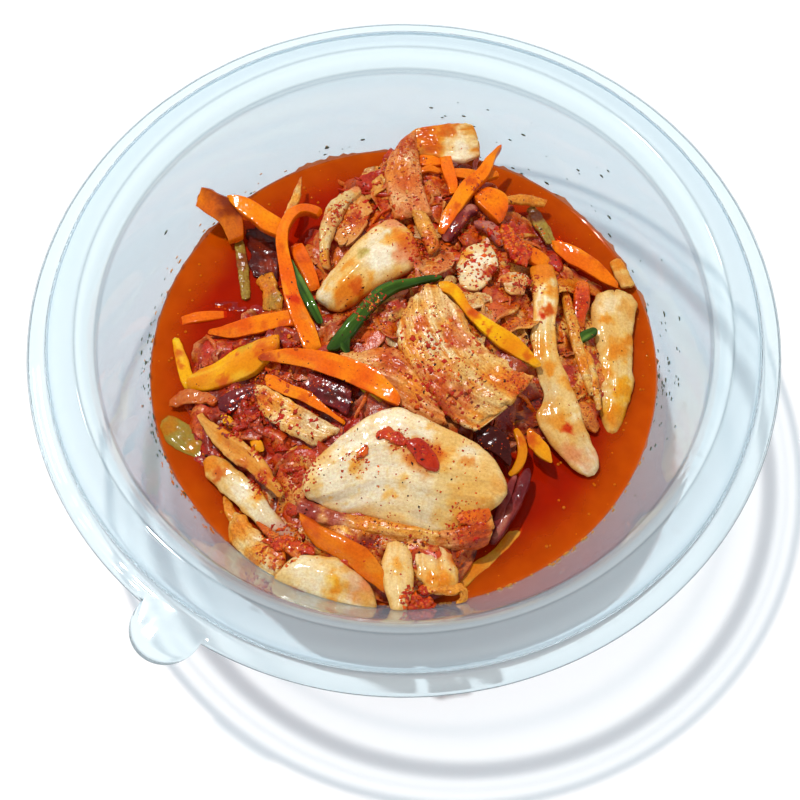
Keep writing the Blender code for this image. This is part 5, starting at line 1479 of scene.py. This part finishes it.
# where chilli paste and crumbs gather: x, y, radius, number, smallest, largest and their colours
CLUSTERS = (
    (3.4, -25.8, 3.8, 50, 0.25, 0.6, ("blood", "paste", "red", "paste")),
    (-1, -23.2, 2.4, 60, 0.25, 0.6, ("paste", "red", "rust")),
    (-9, -27, 2.6, 40, 0.25, 0.55, ("rust", "stain", "carrot_deep", "red")),
    (12, -38.5, 4.0, 130, 0.25, 0.6, ("rust", "carrot_deep", "paste", "red")),
    (5, -11, 5.0, 70, 0.3, 0.9, ("brick", "red", "rust", "paste", "tan")),
    (11, -14, 4.5, 45, 0.3, 0.9, ("brick", "red", "rust", "tan", "brown")),
    (0, -4, 4.0, 60, 0.2, 0.6, ("rust", "red", "stain", "brick")),
    (23, -9, 3.5, 80, 0.2, 0.6, ("rust", "red", "carrot_deep", "brick")),
    (23, 24, 4.5, 420, 0.3, 0.8, ("paste", "rust", "red", "carrot_deep", "stain")),
    (20, 16, 5.0, 90, 0.25, 0.8, ("rust", "red", "stain", "brick", "pink")),
    (13, 15, 4.0, 50, 0.25, 0.6, ("stain", "rust", "red", "pearl")),
    (0, -28, 15.0, 60, 0.25, 0.6, ("red", "rust", "brick", "stain", "dark")),
    (6, -2, 9.0, 60, 0.4, 1.0, ("red", "paste", "rust", "carrot_deep")),
    (3, 22, 3.5, 80, 0.3, 0.7, ("rust", "red", "paste", "stain")),
    (-6, 6, 4.5, 200, 0.2, 0.5, ("brick", "red", "brown", "stain")),
    (2.8, -53.8, 3.4, 240, 0.3, 0.8, ("paste", "red", "rust", "carrot_deep")),
    (-24, -42, 5.0, 240, 0.25, 0.7, ("rust", "red", "stain", "carrot_deep")),
    (-33, -15, 5.0, 200, 0.25, 0.7, ("red", "brick", "paste", "plum")),
    (-21, -28, 5.0, 240, 0.25, 0.7, ("paste", "brick", "red", "rust")),
    (-29, -29, 2.0, 60, 0.25, 0.6, ("rust", "paste", "red")),
    (0, 46, 5.0, 200, 0.2, 0.6, ("stain", "rust", "pink", "brick")),
    (26, 14, 3.5, 130, 0.25, 0.6, ("red", "rust", "paste", "brick")),
    (-12, 31, 4.0, 160, 0.2, 0.6, ("rust", "red", "brick", "stain")),
    (-22, 0, 2.5, 60, 0.2, 0.6, ("rust", "red", "brick")),
    (-26, -16, 9.0, 90, 0.4, 1.0, ("paste", "red", "rust")),
    (18, 22, 10.0, 110, 0.4, 1.1, ("paste", "red", "rust", "carrot_deep")),
    (-6, 34, 9.0, 60, 0.4, 0.9, ("paste", "red", "rust")),
    (16, 37, 3.0, 60, 0.2, 0.5, ("rust", "red", "brick")),
    (36, 14, 3.0, 60, 0.2, 0.5, ("rust", "red", "carrot_deep")),
)


def drop_crumb(soup, tree, x, y, size, flat, tint, clean=0, sink=0.3):
    """Drop one crumb straight down on what lies below it; few stay on the faces below the clean one."""
    hit, normal, face, _ = tree.ray_cast(Vector((x, y, 80)), Vector((0, 0, -1)))
    if hit is None or hit.z < LEVEL - 1.5 or (face < clean and rng.uniform() > 0.12):
        return False
    corners, faces = crumb(size, flat)
    turn = np.array(normal.to_track_quat("Z", "Y").to_matrix())
    angle = rng.uniform(0, math.tau)
    spin = np.array(((math.cos(angle), -math.sin(angle), 0), (math.sin(angle), math.cos(angle), 0), (0, 0, 1)))
    stretch = np.array((rng.uniform(0.8, 1.7), 1, 1))
    points = (corners * stretch) @ spin.T @ turn.T
    soup.add(points + np.array(hit) + np.array(normal) * size * flat * (1 - 2 * sink), [faces], tint)
    return True


def build_flakes(tree, count, clean):
    """Chilli flakes and crumbs: strewn everywhere, and heaped in the clusters."""
    soup = Soup()
    common = [COLOUR[name] for name in ("red", "rust", "paste", "brick", "dark", "stain", "carrot_deep", "brown")]
    for x, y, radius, number, small, large, names in CLUSTERS:
        for _ in range(number):
            turn = rng.uniform(0, math.tau)
            reach = radius * rng.uniform(0, 1) ** 0.7
            tint = COLOUR[names[rng.integers(len(names))]]
            drop_crumb(soup, tree, x + reach * math.cos(turn), y + reach * math.sin(turn),
                       rng.uniform(small, large), 0.55, tint)
    placed = 0
    while placed < count:
        x, y = rng.uniform(-52, 52, 2)
        place = np.array((x, y, 0.0))
        clump = noise(place, 6, 77) + 0.6 * noise(place, 2, 78)
        if heap_top(x, y)[1] > 1.0 or math.hypot(x, y) > 51 or clump < rng.uniform(-0.6, 0.8):
            continue
        size = rng.uniform(0.12, 0.42)
        placed += drop_crumb(soup, tree, x, y, size, 0.45, common[rng.integers(len(common))], clean)
    return soup


def surface_tree(soups):
    """What crumbs can land on."""
    points, faces, start = [], [], 0
    for soup in soups:
        points += [tuple(p) for p in np.vstack(soup.points).tolist()]
        for group in soup.faces:
            faces += (group + start).tolist()
        start += soup.count
    return BVHTree.FromPolygons(points, faces)


def press_inside(soup):
    """Keep food off the wall: what would poke through it lies along it instead."""
    pressed = []
    for points in soup.points:
        reach = np.hypot(points[:, 0], points[:, 1])
        room = np.minimum(inner_wall_radius(points[:, 2]) - 0.15, reach)
        pressed.append(points * np.column_stack((room, room, reach)) / np.maximum(reach, 0.001)[:, None])
    soup.points = pressed


def build_food():
    soups = {piece: Soup() for piece in PIECES}
    names = {piece: [] for piece in PIECES}
    packed = {part["node"]: part["material_slot"] for part in frame["record"]["subparts"]}
    for index, (name, cut) in enumerate(CUTS.items()):
        if name in packed:
            piece = next(key for key, (_, slot) in PIECES.items() if slot == packed[name])
        elif name.startswith("onion"):
            piece = "onion_slices"
        else:
            piece = next(key for key, (kinds, _) in PIECES.items() if cut["kind"] in kinds)
        add_cut(soups[piece], cut, 100 + 13 * index)
        if name in frame["nodes"]:
            names[piece].append(name)
    materials = {
        "cabbage_stems": food_material("wet_cabbage_stem", (0.4, 0.6), 0.15, 0.1, 0.9, 0.08, 0.2, 0.35, 0.2, 0.05, 0.3),
        "cabbage_leaves": food_material("wet_cabbage_leaf", (0.4, 0.6), 0.3, 0.2, 0.4, 0.16, 0.1, 0.5, 0.5, 0.2, 0.8),
        "carrot_strips": food_material("wet_carrot", (0.4, 0.6), 0.15, 0.06, 0.9, 0.05, 0.1, 0.4, 0.2, 0.05, 0.3),
        "yellow_pepper_strips": food_material("wet_yellow_pepper", (0.4, 0.6), 0.15, 0.08, 1.0, 0.05, 0.1, 0.45, 0.1, 0.04, 0.2),
        "red_pepper_bits": food_material("wet_red_pepper", (0.4, 0.6), 0.3, 0.1, 0.5, 0.12, 0.1, 0.7, 0.1, 0.3, 0.5),
        "scallion_strips": food_material("wet_scallion", (0.4, 0.6), 0.3, 0.12, 0.5, 0.10, 0.05, 0.4, 0.4),
        "onion_slices": food_material("wet_onion", (0.4, 0.6), 0.3, 0.1, 0.6, 0.14, 0.15, 0.5, 0.2, 0.2, 0.5),
    }
    for piece, soup in soups.items():
        press_inside(soup)
        make_piece(piece, soup, materials[piece], names[piece])
    cuts = surface_tree(soups.values())
    core = build_core()
    press_inside(core)
    heap = food_material("wet_heap", (0.4, 0.6), 0.5, 0.3, 0.35, 0.22, 0.08, 0.75, 0.3, 0.4, 1.0)
    make_piece("heap_core", core, heap, ("heap",))
    scraps = build_scraps(190, cuts)
    press_inside(scraps)
    make_piece("heap_scraps", scraps, heap)
    strings = build_strings(60, cuts)
    press_inside(strings)
    make_piece("heap_strings", strings, heap)
    order = [soups[piece] for piece in ("cabbage_stems", "carrot_strips", "yellow_pepper_strips", "scallion_strips")]
    clean = sum(len(group) for soup in order for group in soup.faces)
    order += [soup for soup in soups.values() if soup not in order]
    tree = surface_tree([*order, core, scraps, strings])
    flakes = build_flakes(tree, 4200, clean)
    press_inside(flakes)
    make_piece("chilli_flakes", flakes, food_material("wet_flake", (0.4, 0.6), 0.25, 0.0, 0.4, 0.05, 0.1, 0.8))



# ---------------------------------------------------------------- stage, light and camera
def build_stage():
    mesh = bpy.data.meshes.new("table_top")
    edge = 3.0
    mesh.from_pydata([(-edge, -edge, 0), (edge, -edge, 0), (edge, edge, 0), (-edge, edge, 0)], [], [(0, 1, 2, 3)])
    material, _, shader = new_material("white_table")
    shader.inputs["Base Color"].default_value = (0.90, 0.905, 0.91, 1)
    shader.inputs["Roughness"].default_value = 0.6
    mesh.materials.append(material)
    table = bpy.data.objects.new("table_top", mesh)
    bpy.context.scene.collection.objects.link(table)
    table.location.z = -0.0001


def build_light():
    world = bpy.data.worlds.new("soft_studio")
    bpy.context.scene.world = world
    world.use_nodes = True
    tree = world.node_tree
    split = tree.nodes.new("ShaderNodeSeparateXYZ")
    tree.links.new(tree.nodes.new("ShaderNodeTexCoord").outputs["Generated"], split.inputs[0])
    sky = ramp_node(tree, split.outputs[2], (
        (0.0, (0.36, 0.42, 0.47)), (0.16, (0.36, 0.43, 0.49)), (0.5, (1.0, 1.0, 1.0)),
        (0.66, (0.95, 0.95, 0.95)), (0.82, (0.42, 0.42, 0.42)), (1.0, (0.30, 0.30, 0.30))))
    back = tree.nodes["Background"]
    tree.links.new(sky, back.inputs[0])
    back.inputs[1].default_value = 1.00
    direction = Vector((-0.243, 0.223, 0.944)).normalized()
    lamp = bpy.data.lights.new("key", "AREA")
    lamp.shape = "DISK"
    lamp.size = 0.055
    lamp.energy = 17.2
    key = bpy.data.objects.new("key", lamp)
    bpy.context.scene.collection.objects.link(key)
    key.location = direction * 1.6
    key.rotation_euler = direction.to_track_quat("Z", "Y").to_euler()


def build_camera():
    data = bpy.data.cameras.new("camera")
    data.sensor_width = 36
    data.lens = 69.69
    data.clip_start = 0.01
    data.clip_end = 20
    camera = bpy.data.objects.new("camera", data)
    bpy.context.scene.collection.objects.link(camera)
    elevation = math.radians(65.3)
    back = Vector((0, -math.cos(elevation), math.sin(elevation)))
    camera.location = Vector((-0.775, -17.15, 44)) * MM + back * 0.3
    camera.rotation_euler = back.to_track_quat("Z", "Y").to_euler()
    bpy.context.scene.camera = camera


build_camera()
build_light()
build_stage()
build_tub()
build_brine(food_material("deep_brine", (0.1, 0.3), 0.3, 0.25, 1.2, 0.05, 0.0, 0.3))
build_food()

bpy.context.scene.view_settings.view_transform = "Standard"
